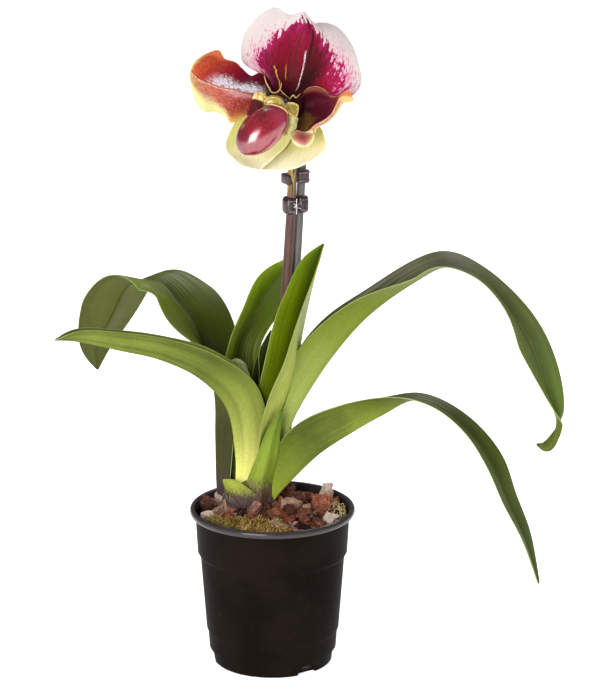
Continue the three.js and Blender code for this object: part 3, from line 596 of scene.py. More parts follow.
def paintLeaf(name, leaf, side):
    # side is upper or under, as the leaf's own lists are called
    paint = Paint(name + " " + side)
    u, v = paint.sheetPlace()
    part = abs(u * 2 - 1)    # 0 on the keel and 1 at the margins
    place = paint.objectPlace()
    cloud = paint.grain(place, 45.0, 3.0)
    streak = paint.threads((u * 60, v * 2.4), 3.0, 0.6)
    hair = paint.threads((u * 150, v * 5))
    speck = paint.grain(place, 420.0, 3.0, 0.7)
    along = v + (cloud - 0.5) * 0.1 + (streak - 0.5) * 0.12
    colour = along.ramp(*spread(leaf[side]))
    # painted light and shade across the blade: the keel and midrib are painted darker as shade in the fold,
    # or lighter where the midrib is painted as a highlight, and the blade changes towards its margins
    if side == "upper":
        midrib = leaf.get("midrib", 0.5)
        across = part.ramp((0, midrib), (0.025, midrib), (0.05, 0.7), (0.35, 0.92), (0.75, 1.06), (1, 1.16))
    else:
        across = part.ramp((0, 0.6), (0.015, 0.64), (0.045, 0.94), (0.35, 1.04), (0.7, 0.96), (1, 0.8))
    colour = paint.times(colour, across)
    # one half is painted lighter and the other darker, painted light and shade on the halves turned towards
    # and away from the light
    left, right = leaf.get(side + "Halves", (1, 1))
    colour = paint.times(colour, u.ramp((0.49, left), (0.51, right)))
    # bands of painted light and shade from keel to margin, fading in above the base
    if side + "Bands" in leaf:
        banded = paint.times(colour, part.ramp(*leaf[side + "Bands"]))
        colour = paint.blend(v.between(0.12, 0.4), colour, banded)
    colour = paint.times(colour, (streak + hair * 0.6).ramp((0.5, 0.72), (1.0, 1.24)))
    colour = paint.times(colour, (cloud * 0.5 + speck * 0.5).ramp((0.35, 0.86), (0.65, 1.13)))
    # the gleam is a painted highlight, blended in as streaks
    if side == "upper" and "gleam" in leaf:
        middle, reach, strength = leaf["gleam"]
        shine = (hair * 0.3 + streak * 0.7).between(0.47, 0.62)
        gleam = abs(v - middle).between(reach, 0.0) * shine * strength
        colour = paint.blend(gleam, colour, leafShape["shine"])
    colour = paint.blend(v.between(0.974, 0.99) * 0.85, colour, leafShape["tip"])
    if "foot" in leaf:
        height, reach, stain = leaf["foot"]
        x, y, z = paint.split(place)
        speckle = paint.threads((x * 900, y * 900, z * 300), 4.0, 0.75)
        low = (height * mm - z) * (1 / (reach * mm))
        mottle = (low + (speckle - 0.5) * 1.8 + (streak - 0.5) * 1.6).between(-0.1, 0.5)
        colour = paint.blend(mottle * 0.9, colour, stain)
        fibre = paint.threads((u * 90, v * 9), 2.0, 0.6).between(0.6, 0.7) * low.between(-0.2, 0.3)
        colour = paint.blend(fibre * 0.6, colour, leafShape["fibre"])
    roughness = 0.36 + 0.14 * cloud + 0.08 * streak + part.between(0.12, 0.0) * 0.3
    normal = paint.bump(streak * 0.6 + hair * 0.4 + cloud * 0.8, 0.3 * mm, 0.6)
    # a painted glow: the pale base emits light, standing in for the light that passes through it
    light = paint.blend(v.between(0.32, 0.12), "#000000", leafShape["glow"])
    strength = leaf.get("glow", 0) if side == "under" else 0    # light that comes through the pale base
    glow = {"Emission_Color": light, "Emission_Strength": strength}
    return paint.finish(colour, roughness, normal, Specular_IOR_Level=0.13, **glow)


def paintMargin(name, colour, shade):
    paint = Paint(name)
    cloud = paint.grain(paint.objectPlace(), 90.0, 2.0)
    return paint.finish(paint.blend(cloud, colour, shade), 0.45)


margin = paintMargin("leaf margin", *leafShape["margin"])


def makeLeaf(name, words, leaf, seed):
    paints = [paintLeaf(words, leaf, "upper"), paintLeaf(words, leaf, "under"), margin]
    across, thickness = (leaf.get(key, leafShape[key]) for key in ("across", "thickness"))
    return makeSheet(name, paints, across, leaf["rows"], leafPoint(leaf, seed), thickness)


for count, (name, leaf) in enumerate(leaves.items()):
    blade = makeLeaf(name + "_blade", name.replace("_", " "), leaf, count * leafShape["phase"])
    settle(blade, leaf.get("slot", "light_leaf"), name)
print("leaves done")

# each petal or sepal as a net of points from the flower's centre, [right, back, up], base to tip;
# its crease runs along the given places across it, dented in and stepped down towards its left side;
# back is how far and to what colour its back pales, relief how deep and strong its grain stands out
petals = {
    "dorsal_sepal": {
        "grid": (110, 80), "flip": False, "thickness": 0.8, "ruffle": (0.5, 14), "slot": "dorsal_sepal",
        "back": (0.5, "#e6dad0"), "relief": (0.4, 0.6), "specular": 0.08, "margin": "#e9ddd4",
        "crease": {"line": [0.62, 0.56, 0.54, 0.53, 0.51, 0.50], "dent": 1.0, "width": 0.012, "step": 1.4},
        "net": [
            [(-6, 5, 0), (-4, 4, 0), (-1, 3, 0), (2, 3, 0), (5, 3, 0), (8, 4, 0), (10, 5, -1)],
            [(-16, 12, 14), (-11, 8, 14), (-4, 3, 13), (7, -2, 12), (18, 2, 10), (31, 7, 5), (43, 10, -2)],
            [(-29, 14, 23), (-21, 10, 25), (-7, 4, 26), (11, -4, 26), (26, 2, 24), (41, 8, 17), (54, 12, 8)],
            [(-30, 12, 37), (-22, 9, 38), (-6, 3, 39), (14, -6, 39), (31, 1, 34), (43, 6, 29), (52, 10, 24)],
            [(-25, 8, 49), (-18, 6, 50), (-4, 1, 49), (17, -7, 48), (31, 0, 44), (40, 5, 40), (46, 8, 39)],
            [(-16, 4, 59), (-10, 3, 59), (0, -1, 57), (17, -8, 54), (26, -2, 51), (34, 3, 49), (37, 6, 50)],
            [(-8, 2, 64), (-4, 1, 64), (4, -2, 60), (14, -8, 63), (19, -4, 54), (24, 0, 54), (29, 3, 53)],
        ],
    },
    "petal_left": {
        "grid": (90, 90), "flip": False, "thickness": 0.8, "ruffle": (0.3, 30), "slot": "petal",
        "back": (0.5, "#b8a24e"), "relief": (0.35, 0.6), "specular": 0.12, "margin": "#d9a862",
        "crease": {"line": [0.5, 0.5], "dent": 1.2, "width": 0.014, "step": 0.5},
        "net": [
            [(-7.5, 3, -7.5), (-6, -1, -3.5), (-5, 0, -0.5), (-4, 0, 3), (-3, 4, 6)],
            [(-13, 1, -9), (-12, -3.5, -3), (-11.5, -3, 2), (-10, -1, 4.5), (-8, 6, 6.5)],
            [(-20.5, -1, -10.5), (-20, -6, -2.5), (-19, -6, 4), (-15.5, -2.5, 9), (-11, 6, 13.5)],
            [(-28, -3, -11.5), (-28, -8.5, -2), (-27.5, -9, 6.5), (-22.5, -4, 11.5), (-17, 6.5, 17)],
            [(-37, -4, -16.5), (-36.5, -10, -3.5), (-35.5, -11.5, 9), (-30.5, -5.5, 12), (-23.5, 6.5, 15)],
            [(-41, -5, -11.5), (-42.5, -12, 0.5), (-44, -13.5, 11), (-37.5, -7, 16), (-30, 5, 21)],
            [(-48.5, -5, -8.5), (-50, -12.5, 3.5), (-51.5, -15, 14), (-43.5, -9.5, 19.5), (-34, 2, 25.5)],
            [(-56, -6, -8), (-57, -14, 5.5), (-58.5, -16.5, 17.5), (-51, -11, 23), (-41.5, 0, 28.5)],
            [(-62, -8, 0.5), (-62, -15, 11.5), (-62.5, -17, 21), (-55, -12.5, 28), (-46, -3, 35)],
            [(-64.5, -11, 12.5), (-65.5, -14, 18.5), (-65, -16, 23.5), (-62, -13, 29), (-56.5, -8, 32.5)],
        ],
    },
    "petal_right": {
        "grid": (96, 110), "flip": True, "thickness": 0.7, "ruffle": (0.25, 40), "slot": "petal",
        "back": (0.55, "#c9a24e"), "relief": (0.3, 0.6), "specular": 0.1, "margin": "#e0bd70",
        "crease": {"line": [0.5, 0.5], "dent": 0.4, "width": 0.02, "step": 0},
        "net": [
            [(1.5, 4, -10), (1.5, 4, -8), (2, 4, -5.5), (2.5, 4, -3), (3, 4, -0.5), (3.5, 4, 1.5),
             (4, 4.5, 2.5)],
            [(5, -12, -23), (8.5, -7, -20.5), (9.5, 0, -15.5), (10.5, 3, -8.5), (11, 3, -3), (11.5, 1, 1),
             (12, 3, 2.5)],
            [(8.5, -15, -29), (12, -9, -21.5), (14, 0, -15.5), (14, 5, -8.5), (14.5, 5, -2), (14.5, 0, 3.5),
             (14.5, 3, 5.5)],
            [(15.5, -15, -30.5), (15.5, -10, -21.5), (17.5, -1, -14.5), (17.5, 5, -7.5), (18, 5, -1.5),
             (18, -2, 5), (17.5, 2, 7.5)],
            [(20.5, -13, -24), (18, -11, -20), (20.5, -2, -13), (21, 4, -7), (21.5, 4, -0.5), (21.5, -3, 5.5),
             (21.5, 1, 8.5)],
            [(23, -11, -18.5), (21.5, -12, -16), (24.5, -4, -9.5), (25, 1, -4.5), (25.5, 1, 0.5),
             (25.5, -4, 5), (25, 0, 8)],
            [(29, -11, -15.5), (27.5, -13, -12.5), (29, -6, -7), (29, -2, -3), (29, -2, 0.5), (29, -5, 3.5),
             (29, -2, 6)],
            [(34.5, -12, -10.5), (33, -14, -7.5), (32.5, -8, -4), (32.5, -6, -1.5), (32.5, -5, 0.5),
             (32, -6, 1.5), (32, -4, 2.5)],
            [(38.5, -13, -5), (36, -15, -1.5), (35.5, -12, 0), (35.5, -10, 1), (35.5, -9, 1.5), (35, -9, 2),
             (35.5, -8, 3)],
            [(41.5, -14, -0.5), (38.5, -16, 3.5), (38, -15, 3.5), (38, -14, 4), (38, -13, 4),
             (38.5, -12, 4.5), (39, -11, 5)],
            [(46, -15, 1), (42.5, -17, 4.5), (42, -17, 5.5), (42, -16, 6.5), (42.5, -15, 7.5), (43, -14, 8),
             (44, -13, 8.5)],
            [(48.5, -15, 2), (48, -17, 4), (47.5, -17, 5), (47.5, -16, 6), (47.5, -15, 6.5), (47.5, -14, 7),
             (47.5, -13, 7.5)],
        ],
    },
    "synsepal": {
        "grid": (80, 72), "flip": True, "thickness": 0.8, "ruffle": (0.3, 9), "slot": "synsepal",
        "back": (0.3, "#a9b45c"), "relief": (0.3, 0.5), "specular": 0.25, "margin": "#f2ecc0",
        "crease": {"line": [0.63, 0.62, 0.60, 0.54, 0.45, 0.32], "dent": 0.8, "width": 0.015, "step": 2.2},
        "net": [
            [(-6, 6, -6), (-2, 7, -6), (3, 7, -6), (7, 6, -6)],
            [(-29.5, 3, -12), (-12, 12, -20), (9, 12, -21), (24, 5, -20)],
            [(-39, 0, -25), (-16, 13, -34), (10, 13, -34), (28, 0, -27)],
            [(-41, -5, -36), (-19, 8, -44), (10, 8, -42), (29, -5, -35)],
            [(-31, -7, -46), (-16, 0, -51), (4, 0, -51), (20, -6, -43)],
        ],
    },
}


def petalPoint(petal):
    columns = netColumns(petal["net"])
    height, waves = petal["ruffle"]
    crease = petal["crease"]

    @lru_cache(maxsize=None)
    def row(v):
        return [smoothValue(column, v) for column in columns], smoothValue(crease["line"], v)

    def point(u, v):
        knots, line = row(round(v, 5))
        ripple = height * abs(2 * u - 1) ** 5 * math.sin(waves * v + 5 * u) * smoothStep(0, 0.15, v)
        dent = crease["dent"] * math.exp(-((u - line) / crease["width"]) ** 2)
        step = crease["step"] * smoothStep(0.02, -0.02, u - line) * smoothStep(0.5, 0.1, abs(u - line))
        fade = smoothStep(0, 0.2, v)
        return atFlower(smoothValue(knots, u)) + Vector((0, ripple + (dent - step) * fade, 0))

    return point


def dorsalColours(paint, u, v):
    streak = paint.threads((u * 44, v * 4.5), 3.0, 0.6)
    dots = paint.threads((u * 62, v * 24))
    vein = paint.threads((u * 130, v * 1.8))
    line = v.ramp(*spread(petals["dorsal_sepal"]["crease"]["line"]))
    reach = u.ramp((0.10, 0.16), (0.21, 0.34), (0.31, 0.56), (0.41, 0.82), (0.5, 0.92), (0.58, 0.70),
                   (0.73, 0.45), (0.88, 0.27), (0.95, 0.1))
    side = abs(u - 0.5).between(0.08, 0.34)
    inside = reach - v + (streak - 0.5) * 0.62 + (dots - 0.5) * (0.16 + side * 0.44)
    wine = inside.between(-0.012, 0.02).most(dots.between(0.68, 0.71) * inside.between(-0.16, -0.08))
    white = paint.blend(paint.grain(paint.objectPlace(), 55.0), "#c9bfbd", "#bbb0ac")
    white = paint.blend(vein.between(0.55, 0.75) * 0.22, white, "#d3b9b6")
    flare = (inside + (dots - 0.5) * 0.5).between(-0.26, 0.0) * side
    white = paint.blend(flare * 0.75, white, "#c4548c")
    # right of the crease the wine is painted darker, painted shade on the side turned from the light, and
    # redder towards its outer part
    right = (u - line).between(-0.006, 0.006)
    lengthwise = v + (streak - 0.5) * 0.3
    left = lengthwise.ramp((0.0, "#1c0708"), (0.15, "#40070c"), (0.35, "#6e0418"), (0.6, "#82042c"),
                           (0.9, "#72063c"))
    dark = lengthwise.ramp((0.0, "#140605"), (0.2, "#280708"), (0.4, "#5a0610"), (0.7, "#7c0522"))
    dark = paint.blend(u.between(0.64, 0.82) * 0.85, dark, "#ae0c22")
    heart = paint.blend(right, left, dark)
    heart = paint.blend(side * (dots * 0.5 + vein * 0.5).between(0.45, 0.6) * 0.6, heart, "#ad2f6c")
    heart = paint.blend((1 - inside.between(0.0, 0.22)) * 0.7, heart, "#b01c62")
    blotch = paint.threads((u * 20, v * 14), 4.0, 0.7)
    heart = paint.times(heart, blotch.ramp((0.35, 0.72), (0.68, 1.35)))
    heart = paint.blend((vein + (blotch - 0.5)).between(0.48, 0.62) * 0.6, heart, "#2e0814")
    drift = (paint.threads((v * 16, 3.0)) - 0.5) * 0.07
    gold = abs(u - 0.335 + drift).between(0.011, 0.003) * abs(v - 0.2).between(0.11, 0.07)
    thin = abs(u - 0.415 + drift * 0.5).between(0.005, 0.001) * abs(v - 0.25).between(0.08, 0.04)
    gold = gold.most(thin * 0.7)
    heart = paint.blend(gold * dots.between(0.3, 0.45) * 0.9, heart, "#c8953c")
    # a dark line painted in the crease, painted shade
    crease = abs(u - line - 0.006).between(0.014, 0.002) * v.between(0.1, 0.3)
    heart = paint.blend(crease * 0.85, heart, "#210810")
    glint = abs(u - line + 0.02).between(0.007, 0.002) * abs(v - 0.27).between(0.2, 0.15)
    gaps = paint.threads((v * 90, u * 60)).between(0.42, 0.52)
    heart = paint.blend(glint * (gaps * 0.8 + 0.15), heart, "#eadbe0")
    return paint.blend(wine, white, heart), 0.46 - 0.08 * wine, vein * 0.7 + dots * 0.2


def petalLeftColours(paint, u, v):
    streak = paint.threads((u * 34, v * 5), 4.0, 0.65)
    speck = paint.threads((u * 46, v * 60), 3.0, 0.6)
    ragged = v + (streak - 0.5) * 0.25
    top = ragged.ramp((0, "#300a12"), (0.3, "#5a0c1e"), (0.5, "#7c102c"), (0.68, "#962226"),
                      (0.84, "#b2442c"), (1, "#bb5838"))
    low = ragged.ramp((0, "#8e3036"), (0.3, "#b0463f"), (0.55, "#b35c4f"), (0.8, "#aa6c54"), (1, "#a88c50"))
    spots = (speck + streak * 0.4).between(0.62, 0.76) * v.between(0.85, 0.35) * u.between(0.5, 0.35)
    low = paint.blend(spots * 0.9, low, "#7a2c22")
    mottle = paint.threads((u * 14, v * 16), 4.0, 0.7)
    low = paint.times(low, mottle.ramp((0.35, 0.78), (0.65, 1.22)))
    # a painted highlight along the ridge below the crease
    ridge = abs(u - 0.478).between(0.026, 0.008) * v.between(0.3, 0.5)
    low = paint.blend(ridge * 0.6, low, "#edb493")
    upper = u.between(0.492, 0.508)
    colour = paint.blend(upper, low, top)
    hairs = paint.threads((u * 24 + v * 22, u * 90 - v * 40), 3.0, 0.7)
    colour = paint.times(colour, hairs.ramp((0.36, 0.5), (0.64, 1.4)))
    rim = (0.05 + v.between(0.3, 0.8) * 0.22 - u + (streak - 0.5) * 0.16).between(-0.05, 0.12)
    colour = paint.blend(rim, colour, "#cbc688")
    end = (v + (streak - 0.5) * 0.06).between(0.93, 1.0)
    colour = paint.blend(end * 0.9, colour, "#d8c468")
    corner = abs(v - 0.42).between(0.14, 0.02) * u.between(0.2, 0.02)
    colour = paint.blend(corner * 0.8, colour, "#d99a3c")
    far = (u - 0.97 + v.between(0.62, 0.92) * 0.12 + (streak - 0.5) * 0.12).between(0.0, 0.07)
    colour = paint.blend(far * v.between(0.5, 0.7) * 0.7, colour, "#d47a44")
    feather = paint.threads((u * 26, v * 26, streak * 2), 3.0, 0.7)
    strokes = paint.threads((u * 9 + v * 14, u * 70 - v * 60), 3.0, 0.6)
    sheen = (0.18 - abs(u - 0.615) + (feather - 0.5) * 0.26 + (strokes - 0.5) * 0.3).between(0.0, 0.16)
    sheen = sheen * abs(v - 0.42).between(0.34, 0.16) * strokes.between(0.3, 0.55)
    colour = paint.blend(sheen * upper * 0.95, colour, "#e4dee9")
    # a pale painted glare on the lower half beside the crease
    lowerGlare = (0.1 - abs(u - 0.44) + (feather - 0.5) * 0.2).between(0.0, 0.12) * abs(v - 0.36).between(0.2, 0.08)
    colour = paint.blend(lowerGlare * 0.4, colour, "#d6bcc0")
    # a dark line along the crease: near the base a real dark slit, further out painted shade under the curled
    # upper half
    crease = abs(u - 0.502).between(0.013, 0.004) * v.between(0.3, 0.12).most(v.between(0.66, 0.78))
    colour = paint.blend(crease * 0.9, colour, "#330b10")
    edge = (u - 0.975).between(0.0, 0.015) * v.between(0.42, 0.3)
    return paint.blend(edge, colour, "#d9a862"), 0.42 + 0.12 * speck, streak * 0.5 + speck * 0.5


def petalRightColours(paint, u, v):
    streak = paint.threads((u * 34, v * 6), 4.0, 0.65)
    speck = paint.grain(paint.objectPlace(), 900.0, 3.0, 0.7)
    ragged = v + (streak - 0.5) * 0.3
    hollow = ragged.ramp((0, "#2a080c"), (0.3, "#470c18"), (0.6, "#541528"), (0.85, "#8a3a30"))
    patch = (0.72 - abs(u - 0.26) * 2.6 - abs(v - 0.2) * 2.2 + (speck - 0.5) * 0.9).between(0.05, 0.35)
    colour = paint.blend(patch * 0.8, hollow, "#75552a")
    ribbon = (0.17 - u + (streak - 0.5) * 0.03).between(0.0, 0.02)
    across = u * 6 + (speck - 0.5) * 0.7
    band = across.ramp((0.05, "#e2ce98"), (0.35, "#cca07a"), (0.7, "#a06a54"), (0.95, "#d8b486"))
    colour = paint.blend(ribbon, colour, band)
    lobe = ribbon * v.between(0.42, 0.36)
    face = (u * 6 + (speck - 0.5) * 0.4).ramp((0.1, "#e6d58c"), (0.3, "#d6a488"), (0.6, "#b4645a"),
                                              (0.85, "#c98a6c"), (1, "#e2cf86"))
    colour = paint.blend(lobe, colour, face)
    # the rolled upper margin: a dark fold and a painted highlight across it, with its own cream edge
    roll = (u - 0.83 + (streak - 0.5) * 0.05).between(0.0, 0.03) * v.between(0.1, 0.2)
    edge = u + (speck - 0.5) * 0.05
    rollHighlightAndEdge = edge.ramp((0.86, "#64201a"), (0.91, "#b0604a"), (0.95, "#80382a"), (0.97, "#e0b890"))
    colour = paint.blend(roll, colour, rollHighlightAndEdge)
    tip = (v + (speck - 0.5) * 0.1).between(0.78, 0.88)
    warm = (u + (streak - 0.5) * 0.3).ramp((0.1, "#e2b070"), (0.5, "#d9825c"), (0.9, "#dfa662"))
    return paint.blend(tip, colour, warm), 0.48 + 0.1 * speck, streak * 0.6 + speck * 0.4


def synsepalColours(paint, u, v):
    vein = paint.threads((u * 60, v * 1.5), 3.0)
    cloud = paint.grain(paint.objectPlace(), 50.0, 3.0)
    line = v.ramp(*spread(petals["synsepal"]["crease"]["line"]))
    ragged = v + (cloud - 0.5) * 0.2
    pale = ((0.6, "#f0eab0"), (0.85, "#faf4d2"), (1, "#fcf8dc"))
    colour = ragged.ramp((0, "#b4b45c"), (0.3, "#d6d27c"), *pale)
    colour = paint.blend(vein.between(0.5, 0.7) * 0.3, colour, "#b9bc62")
    shade = (u - line).between(0.16, 0.0) * (u - line).between(-0.005, 0.005)
    colour = paint.blend(shade * 0.6, colour, "#96903c")
    besideCrease = (line - u).between(0.3, 0.0) * v.between(0.9, 0.5) * 0.7
    flank = (0.3 - u + (vein - 0.5) * 0.4).between(-0.05, 0.3).most(besideCrease)
    colour = paint.blend(flank * v.between(0.95, 0.6) * 0.7, colour, "#bdbc62")
    # a dark line painted along the crease, painted shade in the fold
    dark = abs(u - line - 0.008).between(0.014, 0.004) * v.between(0.2, 0.4) * v.between(0.92, 0.6)
    return paint.blend(dark * 0.9, colour, "#4d4c1a"), 0.5, vein


petalColours = {
    "dorsal_sepal": dorsalColours, "petal_left": petalLeftColours,
    "petal_right": petalRightColours, "synsepal": synsepalColours,
}


def paintPetal(name, petal, side):
    paint = Paint(name.replace("_", " ") + " " + side)
    colour, roughness, height = petalColours[name](paint, *paint.sheetPlace())
    if side == "back":
        share, paler = petal["back"]
        colour = paint.blend(share, colour, paler)
    depth, strength = petal["relief"]
    normal = paint.bump(height, depth * mm, strength)
    return paint.finish(colour, roughness, normal, Specular_IOR_Level=petal["specular"])


for name, petal in petals.items():
    petalMargin = paintMargin(name.replace("_", " ") + " margin", petal["margin"], petal["margin"])
    paints = [paintPetal(name, petal, "front"), paintPetal(name, petal, "back"), petalMargin]
    place = petalPoint(petal)
    blade = makeSheet(name + "_blade", paints, *petal["grid"], place, petal["thickness"], petal["flip"])
    settle(blade, petal["slot"], name)

# the left petal's curled golden fringe in front of the upper sepal, and the right petal's hanging lobe
petalBits = {
    "fringes": [
        [(-14, -2, 16.5), (-12.5, -4, 12), (-10.5, -4.5, 8.5), (-9, -4.5, 5.7), (-5.5, -4.5, 5.4),
         (-2.8, -3, 8), (-2, -1, 11.5)],
        [(-3, -4, 7.5), (-0.7, -4, 4.7), (2, -4, 2.2), (4, -4, 1), (6.2, -3, 3.2), (8.2, -3, 1.4),
         (11, -1, 3.6)],
    ],
    "fringeRadii": [0.3, 0.5, 0.5, 0.5, 0.25],
    "lobe": [
        [(4.5, -14, -22.5), (9, -12.5, -20), (14, -12.5, -21), (20, -13, -19.5)],
        [(5, -17, -26), (10, -17.5, -25), (15, -17.5, -25), (21, -16, -23.5)],
        [(9, -18, -30), (12.5, -18.5, -30.5), (16.5, -18.5, -30), (19.5, -17, -27.5)],
    ],
    "lobeColours": (
        (0.2, "#8e4440"), (0.5, "#a45e50"), (0.75, "#c08c74"), (0.88, "#d6bc86"), (0.96, "#e4d89a"),
    ),
}


def paintLobe(name):
    paint = Paint(name)
    u, v = paint.sheetPlace()
    speck = paint.grain(paint.objectPlace(), 900.0, 3.0, 0.7)
    across, along = (u - 0.5) * 2, (v - 0.45) * 2
    reach = (across * across + along * along) ** 0.5 + (speck - 0.5) * 0.35
    colour = reach.ramp(*petalBits["lobeColours"])
    return paint.finish(colour, 0.45, paint.bump(speck, 0.3 * mm, 0.5), Specular_IOR_Level=0.25)


fringes = [smoothStrand(map(atFlower, path), petalBits["fringeRadii"], 40) for path in petalBits["fringes"]]
goldEdge = paintMargin("petal fringe", "#b98a44", "#dcc48c")
settle(makeTube("petal_left_fringe", goldEdge, fringes, 2), "petal", "petal_left")
lobeMargin = paintMargin("lobe margin", "#ece0a4", "#dcc880")
lobePaints = [paintLobe("lobe front"), paintLobe("lobe back"), lobeMargin]
settle(makeFlap("petal_right_lobe", petalBits["lobe"], lobePaints, (24, 20), 0.3), "petal", "petal_right")
print("petals done")

# the pouch is an egg, leant to the right and back, cut open by the plane of its mouth
pouch = {
    "middle": (-15.5, -23, -17.5), "half": (15.0, 13.5, 21.8), "axis": (0.70, 0.32, 0.64),
    "mouth": (-8, -19, -1), "mouthNormal": (0.365, 0.521, 0.770), "wall": 0.9, "lip": 0.75,
    # its dark ear, yellow cheek and pale flank beside the mouth, each with the colours of its faces
    "flaps": {
        "pouchEar": {"paint": ("pouch ear", "#5c1a20", "#3c0c16"), "net": [
            [(-26.5, -16, -9.5), (-22.5, -20, -7), (-15.5, -19, -5)],
            [(-24.5, -13, -4.5), (-20, -17, -1.5), (-15, -17, -2.5)],
            [(-21.5, -10, 2.5), (-18.5, -13, 2), (-14, -14, -1)],
        ]},
        "pouchCheek": {"paint": ("pouch cheek", "#c9b45c", "#8f7a34"), "net": [
            [(-0.5, -16, -6), (3.5, -18.5, -6.5), (8, -16, -10)],
            [(1, -13, -3), (4.5, -14, -3.5), (9, -12.5, -6.5)],
            [(2, -10, -1.5), (5.5, -11, -1), (9.5, -9, -3.5)],
        ]},
        "pouchFlank": {"paint": ("pouch flank", "#c9c384", "#a39a56"), "net": [
            [(1.5, -15, -7), (6, -16, -8), (9.5, -13, -11)],
            [(2.5, -17, -14), (6, -18, -14.5), (8.5, -14, -17)],
            [(-0.5, -19, -23), (2.5, -19.5, -22), (5.5, -16, -20.5)],
        ]},
    },
    "curl": [
        (-0.5, -16, -6), (1, -13.2, -2.8), (2.2, -10.5, -1.2), (5.5, -11.3, -0.7), (9.4, -9.6, -3),
        (9.4, -12.6, -6.4), (8.2, -16.4, -10),
    ],
    "curlRadii": [0.5, 0.6, 0.6, 0.6, 0.6, 0.6, 0.5], "cream": ("#ecd292", "#cfa45c"),
}


def paintPouch():
    paint = Paint("pouch")
    place = paint.objectPlace()
    x, _, z = paint.split(place)
    net = paint.cells(place, 380.0, "DISTANCE_TO_EDGE").between(0.0, 0.14)
    cloud = paint.grain(place, 80.0, 3.0)
    speck = paint.grain(place, 500.0, 3.0, 0.6)
    middle = atFlower(pouch["middle"]) * mm
    right, up = (x - middle.x) * 60, (z - middle.z) * 50
    colour = (cloud + up * 0.12).ramp((0.3, "#980820"), (0.5, "#8c0018"), (0.7, "#6a0210"))
    colour = paint.blend((1 - net) * 0.22, colour, "#b83c58")
    colour = paint.blend((speck - 0.45) * 0.6, colour, "#b84058")
    shadow = (0 - right + (speck - 0.5) * 0.4).between(0.2, 0.95)
    colour = paint.blend(shadow * 0.55, colour, "#4a1222")
    # a pinker painted glare on the upper right of the pouch
    upperRightGlare = (right * 0.7 + up * 0.6 + (speck - 0.5) * 0.3).between(0.35, 0.95)
    colour = paint.blend(upperRightGlare * 0.36, colour, "#c44a6c")
    yellow = (right * 0.92 - up * 0.38 + (speck - 0.5) * 0.35).between(0.86, 1.12)
    colour = paint.blend(yellow, colour, "#cdbb66")
    normal = paint.bump(net * 0.2 + cloud, 0.2 * mm, 0.35)
    gloss = {"Coat_Weight": 1.0, "Coat_IOR": 2.1, "Coat_Roughness": 0.19, "Specular_IOR_Level": 0.0}
    return paint.finish(colour, 0.3, normal, **gloss)


def paintLip(name, light, dark):
    paint = Paint(name)
    speck = paint.grain(paint.objectPlace(), 600.0, 3.0, 0.6)
    colour = paint.blend(speck.between(0.35, 0.7), light, dark)
    return paint.finish(colour, 0.4, paint.bump(speck, 0.3 * mm, 0.5))


def makePouchShell():
    # the shell, and the points round its mouth in order
    bm = bmesh.new()
    bmesh.ops.create_uvsphere(bm, u_segments=64, v_segments=40, radius=mm)
    bmesh.ops.scale(bm, verts=bm.verts, vec=pouch["half"])
    lean = Vector(pouch["axis"]).to_track_quat("Z", "Y").to_matrix()
    bmesh.ops.rotate(bm, verts=bm.verts, cent=(0, 0, 0), matrix=lean)
    bmesh.ops.translate(bm, verts=bm.verts, vec=atFlower(pouch["middle"]) * mm)
    cut = {"plane_co": atFlower(pouch["mouth"]) * mm, "plane_no": pouch["mouthNormal"], "clear_outer": True}
    bmesh.ops.bisect_plane(bm, geom=bm.verts[:] + bm.edges[:] + bm.faces[:], **cut)
    facing = Vector(pouch["mouthNormal"]).to_track_quat("Z", "Y").to_matrix().inverted()
    rim = [vert.co / mm for vert in bm.verts if any(edge.is_boundary for edge in vert.link_edges)]
    middle = sum(rim, Vector()) / len(rim)
    rim.sort(key=lambda spot: math.atan2(*(facing @ (spot - middle)).xy))
    shell = newPiece("pouchShell", bm, [paintPouch()])
    addModifier(shell, "SOLIDIFY", thickness=pouch["wall"] * mm, offset=-1)
    return shell, rim


pouchShell, mouthRim = makePouchShell()
cream = paintLip("pouch lip", *pouch["cream"])
settle(pouchShell, "pouch", "pouch")
lipStrand = [(spot, pouch["lip"]) for spot in mouthRim + mouthRim[:2]]
settle(makeTube("pouchLip", cream, [lipStrand]), "pouch", "pouch")
for name, lobe in pouch["flaps"].items():
    skin = paintLip(*lobe["paint"])
    settle(makeFlap(name, lobe["net"], [skin, skin, cream]), "pouch", "pouch")
curlStrand = smoothStrand(map(atFlower, pouch["curl"]), pouch["curlRadii"], 36)
settle(makeTube("pouchCurl", cream, [curlStrand], 3), "pouch", "pouch")

